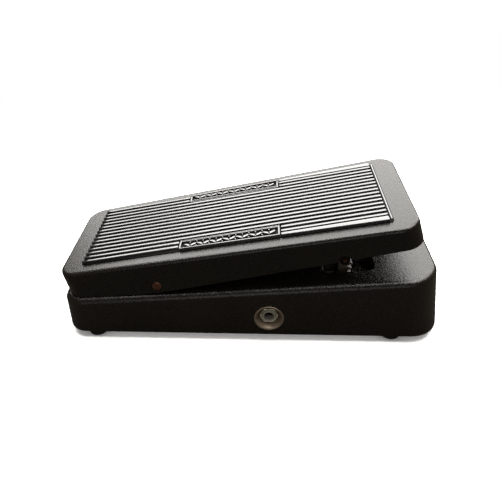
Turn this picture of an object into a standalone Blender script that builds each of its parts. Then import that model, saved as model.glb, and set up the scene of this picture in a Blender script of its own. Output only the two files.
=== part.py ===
"""Rocker-type guitar effects pedal: wedge-shaped cast base, hinged treadle with
a ribbed rubber mat, rack-and-pinion driven potentiometer, footswitch, jacks,
circuit board, battery and all fasteners.

Frame: +X from the heel to the toe, +Y across, +Z up.  "near" is the -Y side,
which holds the input jack, and "far" the +Y side.  The origin is under the
middle of the pedal on the floor.  All dimensions are in millimetres and become
metres when an object is made.

Parts that rock are drawn in the treadle's own frame: origin on the pivot axis,
u along the treadle towards the toe, y across, w square to the top plate.
"""
import math
from collections import namedtuple

import bmesh
import bpy
from mathutils import Matrix, Vector

MM = 0.001
SIDES = (("near", -1), ("far", 1))

# Base casting.  Half widths and end positions are at its lower edge.
BASE_HEEL_X, BASE_TOE_X = -126.5, 126.5
BASE_HEEL_HALF, BASE_TOE_HALF = 46.557, 50.943
BASE_RIM_Z = 6.0                # lower edge above the floor
DECK_HEEL_Z, DECK_TOE_Z = 30.095, 50.805   # deck height at the two ends
BASE_SIDE_DRAFT = 0.057         # inward lean per mm of height
BASE_TOE_DRAFT = 0.14
BASE_HEEL_DRAFT = 0.03
BASE_CORNER_HEEL, BASE_CORNER_TOE = 14.5, 20.5   # plan radii
BASE_FILLET = 4.0               # deck edge radius
BASE_WALL = 3.0

# Treadle
PIVOT_X, PIVOT_Z = -60.0, 42.2
TILT = math.radians(10.57)      # toe up, at rest
TREADLE_HEEL_U, TREADLE_TOE_U = -63.2, 166.2
TREADLE_PIVOT_HALF = 42.55      # half width at the pivot
TREADLE_TAPER = 0.0305          # half width gained per mm towards the toe
TREADLE_TOP_W = 17.7
TREADLE_REF_W = 15.6            # height at which the plan sizes are stated
TREADLE_UNDER_W = 14.0          # underside of the top plate
TREADLE_SIDE_DRAFT = 0.052
TREADLE_TOE_DRAFT = 0.155
TREADLE_HEEL_DRAFT = 0.02
TREADLE_CORNER = 12.0
TREADLE_FILLET = 2.5
TREADLE_WALL = 2.8
JOIN_W = TREADLE_UNDER_W + 0.8  # where ribs and bosses end inside the top plate

# Both castings: sections through the top edge radius, in degrees, and the
# smallest radius used inside
OUTER_ANGLES = (0, 22.5, 45, 67.5, 90)
INNER_ANGLES = (0, 90)
MIN_INNER_FILLET = 0.8
CORNER_SEGMENTS = 6

# Pivot rod and its bushes
ROD_R = 3.25
ROD_HALF_LENGTH = 43.5
BUSH_IN_R, BUSH_OUT_R = 3.35, 4.9
TOWER_IN_Y, TOWER_OUT_Y = 28.5, 36.5

# Rack and pinion
MODULE = 1.25
PINION_TEETH = 13
PINION_R = MODULE * PINION_TEETH / 2.0     # pitch radius
PRESSURE_ANGLE = math.radians(20.0)
ADDENDUM, DEDENDUM = MODULE * 0.95, MODULE * 1.2
BACKLASH = 0.36
PINION_X, PINION_Z = 73.2, 31.0
RACK_PIN_X, RACK_PIN_Z = 60.6, 53.5
RACK_PIN_R = 1.5
RACK_Y0, RACK_Y1 = -27.8, -20.8
RACK_TOOTH_COUNT = 6
PIN_CLEARANCE = 0.25            # radial, also used round the pivot rod

# The rack pin in the treadle's frame
RACK_DX, RACK_DZ = RACK_PIN_X - PIVOT_X, RACK_PIN_Z - PIVOT_Z
RACK_U = RACK_DX * math.cos(TILT) + RACK_DZ * math.sin(TILT)
RACK_W = -RACK_DX * math.sin(TILT) + RACK_DZ * math.cos(TILT)

# Footswitch, jacks and feet
SWITCH_X, SWITCH_Y = 90.6, 8.0
JACK_X, JACK_Z = 11.9, 19.5
POWER_X, POWER_Z = 38.6, 21.0
FEET = (("front_near", 94.2, -42.0), ("front_far", 94.2, 42.0),
        ("rear_near", -106.6, -39.2), ("rear_far", -106.6, 39.2))   # tag, x, y

# Potentiometer bracket screws: tag, x
BRACKET_SCREWS = (("rear", 54.6), ("front", 91.1))
BRACKET_SCREW_Y = -7.4

# Circuit board
BOARD_X0, BOARD_X1, BOARD_HALF_Y = -94.4, -70.4, 29.5
BOARD_Z0, BOARD_Z1 = 18.6, 20.2
BOARD_POST_X = BOARD_X0 + 4.0
BOARD_POSTS = (("near", -25.5), ("far", 25.5))   # tag, y

# Heel stop: a post under the treadle above a pad on the deck
HEEL_STOP_U, HEEL_POST_W = -45.0, 3.9

# -------------------------------------------------------------------- finishes
Finish = namedtuple("Finish", "colour roughness metallic")

BLACK_PAINT = Finish(colour=(0.018, 0.018, 0.019), roughness=0.5, metallic=0.0)
RUBBER = Finish(colour=(0.02, 0.02, 0.02), roughness=0.75, metallic=0.0)
MAT_RUBBER = Finish(colour=(0.03, 0.03, 0.03), roughness=0.4, metallic=0.0)
STEEL = Finish(colour=(0.55, 0.56, 0.57), roughness=0.35, metallic=1.0)
NICKEL = Finish(colour=(0.62, 0.60, 0.55), roughness=0.25, metallic=1.0)
DULL_NICKEL = Finish(colour=(0.30, 0.28, 0.25), roughness=0.45, metallic=1.0)
COPPER = Finish(colour=(0.40, 0.20, 0.14), roughness=0.4, metallic=1.0)
NYLON = Finish(colour=(0.72, 0.70, 0.64), roughness=0.5, metallic=0.0)
BLACK_PLASTIC = Finish(colour=(0.025, 0.025, 0.027), roughness=0.4, metallic=0.0)
BOARD = Finish(colour=(0.10, 0.28, 0.12), roughness=0.45, metallic=0.0)
RED_FILM = Finish(colour=(0.45, 0.10, 0.05), roughness=0.35, metallic=0.0)
BLUE_CAN = Finish(colour=(0.05, 0.08, 0.25), roughness=0.35, metallic=0.0)
FELT = Finish(colour=(0.12, 0.12, 0.13), roughness=0.95, metallic=0.0)
BATTERY = Finish(colour=(0.08, 0.09, 0.10), roughness=0.3, metallic=0.3)
WIRE = Finish(colour=(0.05, 0.05, 0.06), roughness=0.5, metallic=0.0)


def material(name, look):
    mat = bpy.data.materials.new("finish_" + name)
    mat.use_nodes = True
    inputs = mat.node_tree.nodes["Principled BSDF"].inputs
    inputs["Base Color"].default_value = (*look.colour, 1.0)
    inputs["Roughness"].default_value = look.roughness
    inputs["Metallic"].default_value = look.metallic
    return mat


# ----------------------------------------------------------------------- scene
for old in list(bpy.data.objects):
    bpy.data.objects.remove(old, do_unlink=True)


def new_collection(name):
    collection = bpy.data.collections.new(name)
    bpy.context.scene.collection.children.link(collection)
    return collection


parts = new_collection("rocker_pedal")
cutters = new_collection("cutters")


# -------------------------------------------------------------------- outlines
def rounded(corners, radii, segments):
    """Counter-clockwise polygon with its corners rounded."""
    points = []
    count = len(corners)
    for i in range(count):
        corner = Vector(corners[i])
        to_previous = (Vector(corners[i - 1]) - corner).normalized()
        to_next = (Vector(corners[(i + 1) % count]) - corner).normalized()
        half = math.acos(max(-1.0, min(1.0, to_previous.dot(to_next)))) / 2.0
        radius = radii[i]
        centre = corner + (to_previous + to_next).normalized() * (radius / math.sin(half))
        arm = corner + to_previous * (radius / math.tan(half)) - centre
        sweep = math.pi - 2.0 * half
        for k in range(segments + 1):
            angle = sweep * k / segments
            cos, sin = math.cos(angle), math.sin(angle)
            points.append(Vector((centre.x + arm.x * cos - arm.y * sin,
                                  centre.y + arm.x * sin + arm.y * cos)))
    return points


def inset(heel, toe, half_heel, half_toe, side_in, toe_in, heel_in):
    """Corners of a symmetric trapezoid with each side moved inward."""
    slope = (half_toe - half_heel) / (toe - heel)
    length = math.hypot(1.0, slope)

    def half(x):
        return half_heel + slope * (x - heel) - side_in * length

    x0, x1 = heel + heel_in, toe - toe_in
    return [(x0, -half(x0)), (x1, -half(x1)), (x1, half(x1)), (x0, half(x0))]


# ---------------------------------------------------------------- solid shapes
def loft(rings):
    """Skins closed rings of equal length and caps both ends."""
    shape = bmesh.new()
    rows = [[shape.verts.new(point) for point in ring] for ring in rings]
    for lower, upper in zip(rows[:-1], rows[1:]):
        count = len(lower)
        for i in range(count):
            j = (i + 1) % count
            shape.faces.new((lower[i], lower[j], upper[j], upper[i]))
    shape.faces.new(list(reversed(rows[0])))
    shape.faces.new(rows[-1])
    return shape


def prism_z(outline, z0, z1):
    """Prism on an (x, y) outline."""
    return loft([[(x, y, z) for x, y in outline] for z in (z0, z1)])


def prism_y(outline, y0, y1):
    """Prism on an (x, z) outline."""
    return loft([[(x, y, z) for x, z in outline] for y in (y0, y1)])


def box(low, high):
    shape = bmesh.new()
    low, high = Vector(low), Vector(high)
    bmesh.ops.create_cube(shape, size=1.0)
    bmesh.ops.scale(shape, verts=shape.verts, vec=high - low)
    bmesh.ops.translate(shape, verts=shape.verts, vec=(low + high) / 2)
    return shape


def bevelled_box(low, high, width, segments):
    shape = box(low, high)
    bmesh.ops.bevel(shape, geom=shape.edges[:], offset=width, segments=segments,
                    affect='EDGES', profile=0.5)
    return shape


def cylinder(start, end, radius, segments, end_radius=None, phase=0.0):
    """Cylinder, or a cone if end_radius is given, turned by phase on its axis."""
    start, end = Vector(start), Vector(end)
    axis = end - start
    matrix = (Matrix.Translation((start + end) / 2)
              @ axis.to_track_quat('Z', 'Y').to_matrix().to_4x4()
              @ Matrix.Rotation(phase, 4, 'Z'))
    shape = bmesh.new()
    bmesh.ops.create_cone(shape, cap_ends=True, segments=segments, radius1=radius,
                          radius2=radius if end_radius is None else end_radius,
                          depth=axis.length, matrix=matrix)
    return shape


def upright(x, y, z0, z1, radius, segments, **options):
    """Cylinder along Z."""
    return cylinder((x, y, z0), (x, y, z1), radius, segments, **options)


def crosswise(x, z, y0, y1, radius, segments):
    """Cylinder along Y."""
    return cylinder((x, y0, z), (x, y1, z), radius, segments)


# --------------------------------------------------------------------- objects
def place(ob, collection, frame, parent):
    """Links an object at a frame given in millimetres."""
    collection.objects.link(ob)
    ob.parent = parent
    matrix = Matrix.Identity(4) if frame is None else frame.copy()
    matrix.translation = matrix.translation * MM
    ob.matrix_basis = matrix


def mesh_object(name, shape, collection, frame, parent):
    shape.normal_update()
    bmesh.ops.scale(shape, verts=shape.verts, vec=(MM, MM, MM))
    mesh = bpy.data.meshes.new(name)
    shape.to_mesh(mesh)
    shape.free()
    ob = bpy.data.objects.new(name, mesh)
    place(ob, collection, frame, parent)
    return ob


def part(name, shape, look, frame=None, parent=None):
    """Turns a bmesh into a visible piece."""
    ob = mesh_object(name, shape, parts, frame, parent)
    ob.data.materials.append(material(name, look))
    ob.data.shade_smooth()
    ob.data.set_sharp_from_angle(angle=math.radians(35.0))
    return ob


def turned(name, profile, look, steps, frame=None, parent=None):
    """A turned piece: (radius, height) pairs spun about local Z.  The profile
    is closed unless both its ends lie on the axis."""
    mesh = bpy.data.meshes.new(name)
    points = [(radius * MM, 0.0, z * MM) for radius, z in profile]
    edges = [(i, i + 1) for i in range(len(points) - 1)]
    if profile[0][0] > 1e-6 or profile[-1][0] > 1e-6:
        edges.append((len(points) - 1, 0))
    mesh.from_pydata(points, edges, [])
    ob = bpy.data.objects.new(name, mesh)
    place(ob, parts, frame, parent)
    spin = ob.modifiers.new("spin", 'SCREW')
    spin.axis = 'Z'
    spin.angle = math.tau
    spin.screw_offset = 0.0
    spin.steps = steps
    spin.render_steps = steps
    spin.use_merge_vertices = True
    spin.merge_threshold = 0.00001
    spin.use_smooth_shade = False
    mesh.materials.append(material(name, look))
    return ob


def wire(name, points, radius, look, resolution):
    """A round wire along a polyline."""
    curve = bpy.data.curves.new(name, 'CURVE')
    curve.dimensions = '3D'
    spline = curve.splines.new('POLY')
    spline.points.add(len(points) - 1)
    for target, point in zip(spline.points, points):
        target.co = (point[0] * MM, point[1] * MM, point[2] * MM, 1.0)
    curve.bevel_depth = radius * MM
    curve.bevel_resolution = resolution
    curve.use_fill_caps = True
    parts.objects.link(bpy.data.objects.new(name, curve))
    curve.materials.append(material(name, look))


def empty(name, x, z):
    ob = bpy.data.objects.new(name, None)
    parts.objects.link(ob)
    ob.location = (x * MM, 0.0, z * MM)
    return ob


def combine(ob, helper_name, shape, frame, operation):
    """Boolean with a hidden helper that shares the piece's parent."""
    helper = mesh_object(helper_name, shape, cutters, frame, ob.parent)
    helper.hide_render = True
    helper.display_type = 'WIRE'
    modifier = ob.modifiers.new(operation.lower() + "_" + helper.name, 'BOOLEAN')
    modifier.operation = operation
    modifier.solver = 'EXACT'
    modifier.object = helper


def cut(ob, name, shape, frame=None):
    combine(ob, "cut_" + name, shape, frame, 'DIFFERENCE')


def add(ob, name, shape, frame=None):
    combine(ob, "add_" + name, shape, frame, 'UNION')


def hex_nut(name, bore_name, frame, span, radius, bore_span, bore_radius,
            bore_segments=24, phase=0.0):
    """Hexagon nut about a frame's Z.  Spans are (low, high) along it."""
    nut = part(name, upright(0, 0, *span, radius, 6, phase=phase), NICKEL, frame)
    cut(nut, bore_name, upright(0, 0, *bore_span, bore_radius, bore_segments), frame)


def small_screw(kind, tag, x, y, shank_span, head_span, frame=None):
    """Upright screw with a plain round head.  Spans are (low, high) in z."""
    screw = part(kind + "_screw_" + tag, upright(x, y, *shank_span, 1.15, 10), STEEL, frame)
    add(screw, kind + "_screw_head_" + tag, upright(x, y, *head_span, 2.6, 12), frame)


# ---------------------------------------------------------------------- frames
DECK_SLOPE = (DECK_TOE_Z - DECK_HEEL_Z) / (BASE_TOE_X - BASE_HEEL_X)
DECK_ANGLE = math.atan(DECK_SLOPE)
BASE_TAPER = (BASE_TOE_HALF - BASE_HEEL_HALF) / (BASE_TOE_X - BASE_HEEL_X)


def deck_z(x):
    return DECK_HEEL_Z + DECK_SLOPE * (x - BASE_HEEL_X)


def base_half(x, z):
    """Half width of the base's outer skin."""
    return (BASE_HEEL_HALF + BASE_TAPER * (x - BASE_HEEL_X)
            - BASE_SIDE_DRAFT * (z - BASE_RIM_Z))


def frame_at(point, normal):
    """Frame at a point whose Z is the normal and whose X is near world X."""
    z_axis = Vector(normal).normalized()
    x_axis = Vector((1, 0, 0))
    x_axis = (x_axis - z_axis * x_axis.dot(z_axis)).normalized()
    frame = Matrix((x_axis, z_axis.cross(x_axis), z_axis)).transposed().to_4x4()
    frame.translation = Vector(point)
    return frame


def side_frame(x, z, side):
    """Frame on a side wall's outer face, Z outward.  side is -1 or +1."""
    return frame_at((x, side * base_half(x, z), z), (-BASE_TAPER, side, BASE_SIDE_DRAFT))


def deck_frame(x, y):
    """Frame on the deck, Z up and square to it."""
    return frame_at((x, y, deck_z(x)), (-math.sin(DECK_ANGLE), 0, math.cos(DECK_ANGLE)))


SWITCH_FRAME = deck_frame(SWITCH_X, SWITCH_Y)
INPUT_FRAME = side_frame(JACK_X, JACK_Z, -1)
OUTPUT_FRAME = side_frame(JACK_X, JACK_Z, 1)
POWER_FRAME = side_frame(POWER_X, POWER_Z, 1)

# ================================================================ base housing
CAVITY_OVERRUN = 5.0        # how far the cavity cutter runs below the rim
TOWER_R = 6.6
FRICTION_BOSS_R, FRICTION_BORE_R = 6.2, 4.1
FOOT_POST_R, FOOT_POST_HOLE_R, FOOT_POST_Z = 4.6, 1.75, 8.2
BOARD_POST_R, BRACKET_BOSS_R, PILOT_HOLE_R = 3.2, 3.4, 1.35
POST_SINK = 1.5             # how far the posts' tops stay below the deck face
SLOT_CORNERS = [(47.5, -32.0), (80.6, -32.0), (80.6, -11.5), (47.5, -11.5)]   # x, y
SLOT_CORNER_R = 4.5
SWITCH_HOLE_R, JACK_HOLE_R, POWER_HOLE_R = 6.4, 9.2, 4.25


def base_radii(offset):
    heel, toe = BASE_CORNER_HEEL - offset, BASE_CORNER_TOE - offset
    return [heel, toe, toe, heel]


def base_rim_outline(offset, drop=0.0):
    """Outline inside the outer skin, on walls extended below the rim by drop."""
    corners = inset(BASE_HEEL_X, BASE_TOE_X, BASE_HEEL_HALF, BASE_TOE_HALF,
                    offset - drop * BASE_SIDE_DRAFT,
                    offset - drop * BASE_TOE_DRAFT,
                    offset - drop * BASE_HEEL_DRAFT)
    return rounded(corners, base_radii(offset), CORNER_SEGMENTS)


def base_fillet_ring(offset, degrees):
    """Ring on the deck-edge radius: 0 meets the walls, 90 the deck."""
    angle = math.radians(degrees)
    fillet = max(BASE_FILLET - offset, MIN_INNER_FILLET)
    inward = offset + fillet * (1.0 - math.cos(angle))
    heel_height = DECK_HEEL_Z - BASE_RIM_Z
    toe_height = DECK_TOE_Z - BASE_RIM_Z
    corners = inset(BASE_HEEL_X, BASE_TOE_X,
                    BASE_HEEL_HALF - BASE_SIDE_DRAFT * heel_height,
                    BASE_TOE_HALF - BASE_SIDE_DRAFT * toe_height,
                    inward,
                    inward + BASE_TOE_DRAFT * toe_height,
                    inward + BASE_HEEL_DRAFT * heel_height)
    return [(x, y, deck_z(x) - offset - fillet + fillet * math.sin(angle))
            for x, y in rounded(corners, base_radii(inward), CORNER_SEGMENTS)]


def base_solid(offset, drop, angles):
    rim = [(x, y, BASE_RIM_Z - drop) for x, y in base_rim_outline(offset, drop)]
    return loft([rim] + [base_fillet_ring(offset, angle) for angle in angles])


def add_pivot_supports(housing):
    """Towers that carry the pivot rod, and the friction boss between them."""
    pivot_deck_z = deck_z(PIVOT_X)
    foot_z = pivot_deck_z - 2.0
    arch = [(PIVOT_X - TOWER_R, foot_z), (PIVOT_X + TOWER_R, foot_z)]
    arch += [(PIVOT_X + TOWER_R * math.cos(math.pi * i / 14),
              PIVOT_Z + TOWER_R * math.sin(math.pi * i / 14)) for i in range(15)]
    for tag, side in SIDES:
        y0, y1 = sorted((side * TOWER_IN_Y, side * TOWER_OUT_Y))
        add(housing, "tower_" + tag, prism_y(arch, y1, y0))
    add(housing, "friction_boss",
        upright(PIVOT_X, 0, pivot_deck_z - 12.0, PIVOT_Z - 4.2, FRICTION_BOSS_R, 24))
    for tag, side in SIDES:
        cut(housing, "tower_bore_" + tag,
            crosswise(PIVOT_X, PIVOT_Z, side * (TOWER_IN_Y - 1), side * (TOWER_OUT_Y + 1),
                      BUSH_OUT_R + 0.2, 24))
    cut(housing, "friction_bore",
        upright(PIVOT_X, 0, pivot_deck_z - 14.0, PIVOT_Z, FRICTION_BORE_R, 20))


def add_posts(housing):
    """Posts for the foot screws and the circuit board screws."""
    for tag, x, y in FEET:
        add(housing, "post_" + tag,
            upright(x, y, FOOT_POST_Z, deck_z(x) - POST_SINK, FOOT_POST_R, 16))
        cut(housing, "post_hole_" + tag, upright(x, y, 5.0, 22.0, FOOT_POST_HOLE_R, 12))
    for tag, y in BOARD_POSTS:
        add(housing, "board_post_" + tag,
            upright(BOARD_POST_X, y, BOARD_Z1 + 0.3, deck_z(BOARD_POST_X) - POST_SINK,
                    BOARD_POST_R, 16))
        cut(housing, "board_post_hole_" + tag,
            upright(BOARD_POST_X, y, BOARD_Z1 - 0.5, BOARD_Z1 + 6.0, PILOT_HOLE_R, 12))


def cut_openings(housing):
    """Rack slot and footswitch hole in the deck, jack holes in the sides."""
    cut(housing, "slot", prism_z(rounded(SLOT_CORNERS, [SLOT_CORNER_R] * 4, 4), 36.0, 56.0))
    cut(housing, "switch_hole", upright(0, 0, -8, 8, SWITCH_HOLE_R, 24), SWITCH_FRAME)
    for name, radius, segments, frame in (
            ("input_hole", JACK_HOLE_R, 32, INPUT_FRAME),
            ("output_hole", JACK_HOLE_R, 32, OUTPUT_FRAME),
            ("power_hole", POWER_HOLE_R, 24, POWER_FRAME)):
        cut(housing, name, upright(0, 0, -8, 4, radius, segments), frame)


def add_bracket_bosses(housing):
    """Bosses under the deck for the potentiometer bracket screws."""
    for tag, x in BRACKET_SCREWS:
        frame = deck_frame(x, BRACKET_SCREW_Y)
        add(housing, "bracket_boss_" + tag, upright(0, 0, -4.2, -2.0, BRACKET_BOSS_R, 16),
            frame)
        cut(housing, "bracket_hole_" + tag, upright(0, 0, -9.0, -1.4, PILOT_HOLE_R, 12),
            frame)


def build_housing():
    housing = part("base_housing", base_solid(0.0, 0.0, OUTER_ANGLES), BLACK_PAINT)
    cut(housing, "cavity", base_solid(BASE_WALL, CAVITY_OVERRUN, INNER_ANGLES))
    add_pivot_supports(housing)
    add_posts(housing)
    cut_openings(housing)
    add_bracket_bosses(housing)


# ====================================================== bottom plate and feet
PLATE_GAP = 0.9             # between the plate and the inside of the wall
PLATE_Z0, PLATE_Z1 = 6.3, 7.7
PLATE_HOLE_R = 2.0
FOOT_R = 6.6
# (radius, z): outer side, sole, then the recess and hole for the screw
FOOT_PROFILE = [(FOOT_R, 5.7), (FOOT_R - 0.5, 0.9), (FOOT_R - 1.4, 0.0),
                (3.9, 0.0), (3.9, 3.2), (1.9, 3.2), (1.9, 5.7)]
FOOT_SCREW_R = 1.5
FOOT_SCREW_HEAD_R, FOOT_SCREW_HEAD_TOP_R = 3.3, 2.9


def build_bottom_plate():
    outline = base_rim_outline(BASE_WALL + PLATE_GAP)
    plate = part("bottom_plate", prism_z(outline, PLATE_Z0, PLATE_Z1), STEEL)
    for tag, x, y in FEET:
        cut(plate, "plate_hole_" + tag, upright(x, y, 5.0, 9.0, PLATE_HOLE_R, 12))


def build_foot(tag, x, y):
    """Rubber foot and its slotted screw, each with its origin on the floor."""
    frame = Matrix.Translation((x, y, 0))
    turned("foot_" + tag, FOOT_PROFILE, RUBBER, 20, frame)
    screw = part("foot_screw_" + tag, upright(0, 0, 2.9, 17.5, FOOT_SCREW_R, 10), STEEL,
                 frame)
    add(screw, "screw_head_" + tag,
        upright(x, y, 1.2, 3.0, FOOT_SCREW_HEAD_R, 16, end_radius=FOOT_SCREW_HEAD_TOP_R))
    cut(screw, "screw_slot_" + tag, box((x - 4, y - 0.5, 0.0), (x + 4, y + 0.5, 1.9)))


# ===================================================================== treadle
SKIRT_LOW_U, SKIRT_LOW_W = -6.0, -5.35     # where the two edge lines meet
SKIRT_HEEL_SLOPE, SKIRT_TOE_SLOPE = -0.100, 0.0525
SKIRT_BLEND = 0.54          # rounds the meeting of the lines, in square mm
SKIRT_SHIFT = 0.35          # lowers the blended edge
ROD_BOSS_IN_Y, ROD_BOSS_OUT_Y, ROD_BOSS_R = 38.1, 42.0, 5.6
EAR_GAP, EAR_THICKNESS, EAR_R = 0.5, 2.7, 3.4
# Clevis ears either side of the rack: tag, y0, y1
EARS = (("near", RACK_Y0 - EAR_GAP - EAR_THICKNESS, RACK_Y0 - EAR_GAP),
        ("far", RACK_Y1 + EAR_GAP, RACK_Y1 + EAR_GAP + EAR_THICKNESS))
HEEL_POST_R = 5.0
CROSS_RIBS = (("a", 20.0), ("b", 84.0))    # tag, u
RIB_HALF_THICKNESS, RIB_LOW_W = 1.2, 8.0


def treadle_half(u):
    return TREADLE_PIVOT_HALF + TREADLE_TAPER * u


def treadle_outline(offset, w):
    growth = TREADLE_REF_W - w
    corners = inset(TREADLE_HEEL_U, TREADLE_TOE_U,
                    treadle_half(TREADLE_HEEL_U), treadle_half(TREADLE_TOE_U),
                    offset - TREADLE_SIDE_DRAFT * growth,
                    offset - TREADLE_TOE_DRAFT * growth,
                    offset - TREADLE_HEEL_DRAFT * growth)
    return rounded(corners, [TREADLE_CORNER - offset] * 4, CORNER_SEGMENTS)


def treadle_solid(offset, rim_w, top_w, angles):
    """Treadle form from rim_w up to top_w, with a rounded top edge."""
    fillet = max(TREADLE_FILLET - offset, MIN_INNER_FILLET)
    base_w = top_w - fillet
    rings = [[(x, y, rim_w) for x, y in treadle_outline(offset, rim_w)]]
    for degrees in angles:
        angle = math.radians(degrees)
        outline = treadle_outline(offset + fillet * (1.0 - math.cos(angle)), base_w)
        rings.append([(x, y, base_w + fillet * math.sin(angle)) for x, y in outline])
    return loft(rings)


def skirt_w(u):
    """Skirt's lower edge: two lines rising to heel and toe from a blended low."""
    heel = SKIRT_LOW_W + SKIRT_HEEL_SLOPE * (u - SKIRT_LOW_U)
    toe = SKIRT_LOW_W + SKIRT_TOE_SLOPE * (u - SKIRT_LOW_U)
    difference = toe - heel
    return ((heel + toe) / 2.0 + math.sqrt(difference * difference / 4.0 + SKIRT_BLEND)
            - SKIRT_SHIFT)


def cut_skirt_edge(treadle):
    stations = [TREADLE_HEEL_U - 12.0 + 254.0 * i / 24.0 for i in range(25)]
    below = [(u, skirt_w(u)) for u in stations]
    below += [(stations[-1], -22.0), (stations[0], -22.0)]
    cut(treadle, "skirt_edge", prism_y(below, -70.0, 70.0))


def add_rod_bosses(treadle):
    """Bosses for the rod inside the skirt, each with a web to the top plate."""
    for tag, side in SIDES:
        y0, y1 = sorted((side * ROD_BOSS_IN_Y, side * ROD_BOSS_OUT_Y))
        add(treadle, "rod_boss_" + tag, crosswise(0, 0, y0, y1, ROD_BOSS_R, 24))
        add(treadle, "rod_web_" + tag, box((-3.0, y0 + 0.3, 4.6), (3.0, y1 - 0.3, JOIN_W)))
        cut(treadle, "rod_hole_" + tag,
            crosswise(0, 0, side * 36, side * 46, ROD_R + PIN_CLEARANCE, 24))


def add_clevis(treadle):
    """Two ears down from the top plate that hold the rack pin."""
    for tag, y0, y1 in EARS:
        add(treadle, "ear_" + tag,
            box((RACK_U - EAR_R, y0, RACK_W), (RACK_U + EAR_R, y1, JOIN_W)))
        add(treadle, "ear_end_" + tag, crosswise(RACK_U, RACK_W, y0, y1, EAR_R, 16))
        cut(treadle, "ear_hole_" + tag,
            crosswise(RACK_U, RACK_W, y0 - 1, y1 + 1, RACK_PIN_R + PIN_CLEARANCE, 16))


def add_post_and_ribs(treadle):
    """Heel stop post and two cross ribs under the top plate."""
    add(treadle, "heel_post",
        upright(HEEL_STOP_U, 0, HEEL_POST_W, JOIN_W, HEEL_POST_R, 20))
    for tag, u in CROSS_RIBS:
        half = treadle_half(u) - 2.0
        add(treadle, "rib_" + tag, box((u - RIB_HALF_THICKNESS, -half, RIB_LOW_W),
                                       (u + RIB_HALF_THICKNESS, half, JOIN_W)))


def build_treadle(pivot):
    treadle = part("treadle", treadle_solid(0.0, -12.0, TREADLE_TOP_W, OUTER_ANGLES),
                   BLACK_PAINT, parent=pivot)
    cut(treadle, "treadle_cavity",
        treadle_solid(TREADLE_WALL, -15.0, TREADLE_UNDER_W, INNER_ANGLES))
    cut_skirt_edge(treadle)
    add_rod_bosses(treadle)
    add_clevis(treadle)
    add_post_and_ribs(treadle)
    pocket = rounded(mat_corners(MAT_POCKET_GAP), [2.0] * 4, 3)
    cut(treadle, "mat_pocket", prism_z(pocket, MAT_POCKET_W, TREADLE_TOP_W + 2.0))


# ------------------------------------------------------------------- tread mat
MAT_HEEL_U, MAT_TOE_U = -47.6, 150.8
MAT_HALF_HEEL, MAT_HALF_TOE = 31.95, 37.55
MAT_BOTTOM_W, MAT_TOP_W = 16.5, 19.95
MAT_POCKET_W = 16.2         # floor of the treadle's shallow pocket
MAT_POCKET_GAP = 0.5
MAT_RIBS = 17
MAT_RIB_PITCH = 4.42
MAT_GROOVE = 1.9            # groove width
MAT_GROOVE_DEPTH = 2.0
GROOVE_HEEL_U, GROOVE_TOE_U = MAT_HEEL_U - 1.0, MAT_TOE_U - 1.6


def mat_corners(margin):
    u0, u1 = MAT_HEEL_U - margin, MAT_TOE_U + margin
    half0, half1 = MAT_HALF_HEEL + margin, MAT_HALF_TOE + margin
    return [(u0, -half0), (u1, -half1), (u1, half1), (u0, half0)]


def groove_comb():
    """(y, w) outline of a comb whose teeth are the lengthwise grooves."""
    floor_w = MAT_TOP_W - MAT_GROOVE_DEPTH
    bridge_w = MAT_TOP_W + 1.0
    back_w = MAT_TOP_W + 2.0
    comb = []
    for i in range(MAT_RIBS - 1):
        centre = (i - (MAT_RIBS - 2) / 2.0) * MAT_RIB_PITCH
        y0, y1 = centre - MAT_GROOVE / 2, centre + MAT_GROOVE / 2
        comb += [(y0, floor_w), (y1, floor_w)]
        if i < MAT_RIBS - 2:
            comb += [(y1, bridge_w), (y0 + MAT_RIB_PITCH, bridge_w)]
    return [(comb[0][0], back_w)] + comb + [(comb[-1][0], back_w)]


def build_mat(pivot):
    outline = rounded(mat_corners(0.0), [1.5] * 4, 3)
    mat = part("tread_mat", prism_z(outline, MAT_BOTTOM_W, MAT_TOP_W), MAT_RUBBER,
               parent=pivot)
    comb = groove_comb()[::-1]
    cut(mat, "mat_grooves", loft([[(u, y, w) for y, w in comb]
                                  for u in (GROOVE_TOE_U, GROOVE_HEEL_U)]))


# -------------------------------------------------------- rod, bumper, rack pin
BUMPER_U, BUMPER_Y = 150.3, 8.0
# (radius, w)
BUMPER_PROFILE = [(0.0, 13.7), (7.0, 13.7), (7.0, 11.4), (6.3, 10.7), (0.0, 10.7)]
RACK_PIN_OVERHANG = 0.6     # beyond the outer face of each ear


def build_pivot_rod(pivot):
    part("pivot_rod", crosswise(0, 0, -ROD_HALF_LENGTH, ROD_HALF_LENGTH, ROD_R, 24), COPPER,
         parent=pivot)


def build_toe_bumper(pivot):
    turned("toe_bumper", BUMPER_PROFILE, RUBBER, 24,
           Matrix.Translation((BUMPER_U, BUMPER_Y, 0)), pivot)


def build_rack_pin(pivot):
    pin_y0 = EARS[0][1] - RACK_PIN_OVERHANG
    pin_y1 = EARS[1][2] + RACK_PIN_OVERHANG
    part("rack_pin", crosswise(RACK_U, RACK_W, pin_y0, pin_y1, RACK_PIN_R, 16), COPPER,
         parent=pivot)


# ============================================================= rack and pinion
RACK_HALF = 3.1             # eye radius, and from the pin axis to the flat back
RACK_BELOW_MESH = 4.3       # from the pinion axis down to the rack's lower end
PINION_Y0, PINION_Y1 = RACK_Y0 + 0.5, RACK_Y1 - 0.5
PINION_BORE_R = 3.3
SHAFT_R, SHAFT_Y0, SHAFT_Y1 = 3.0, -28.0, -9.0


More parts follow.
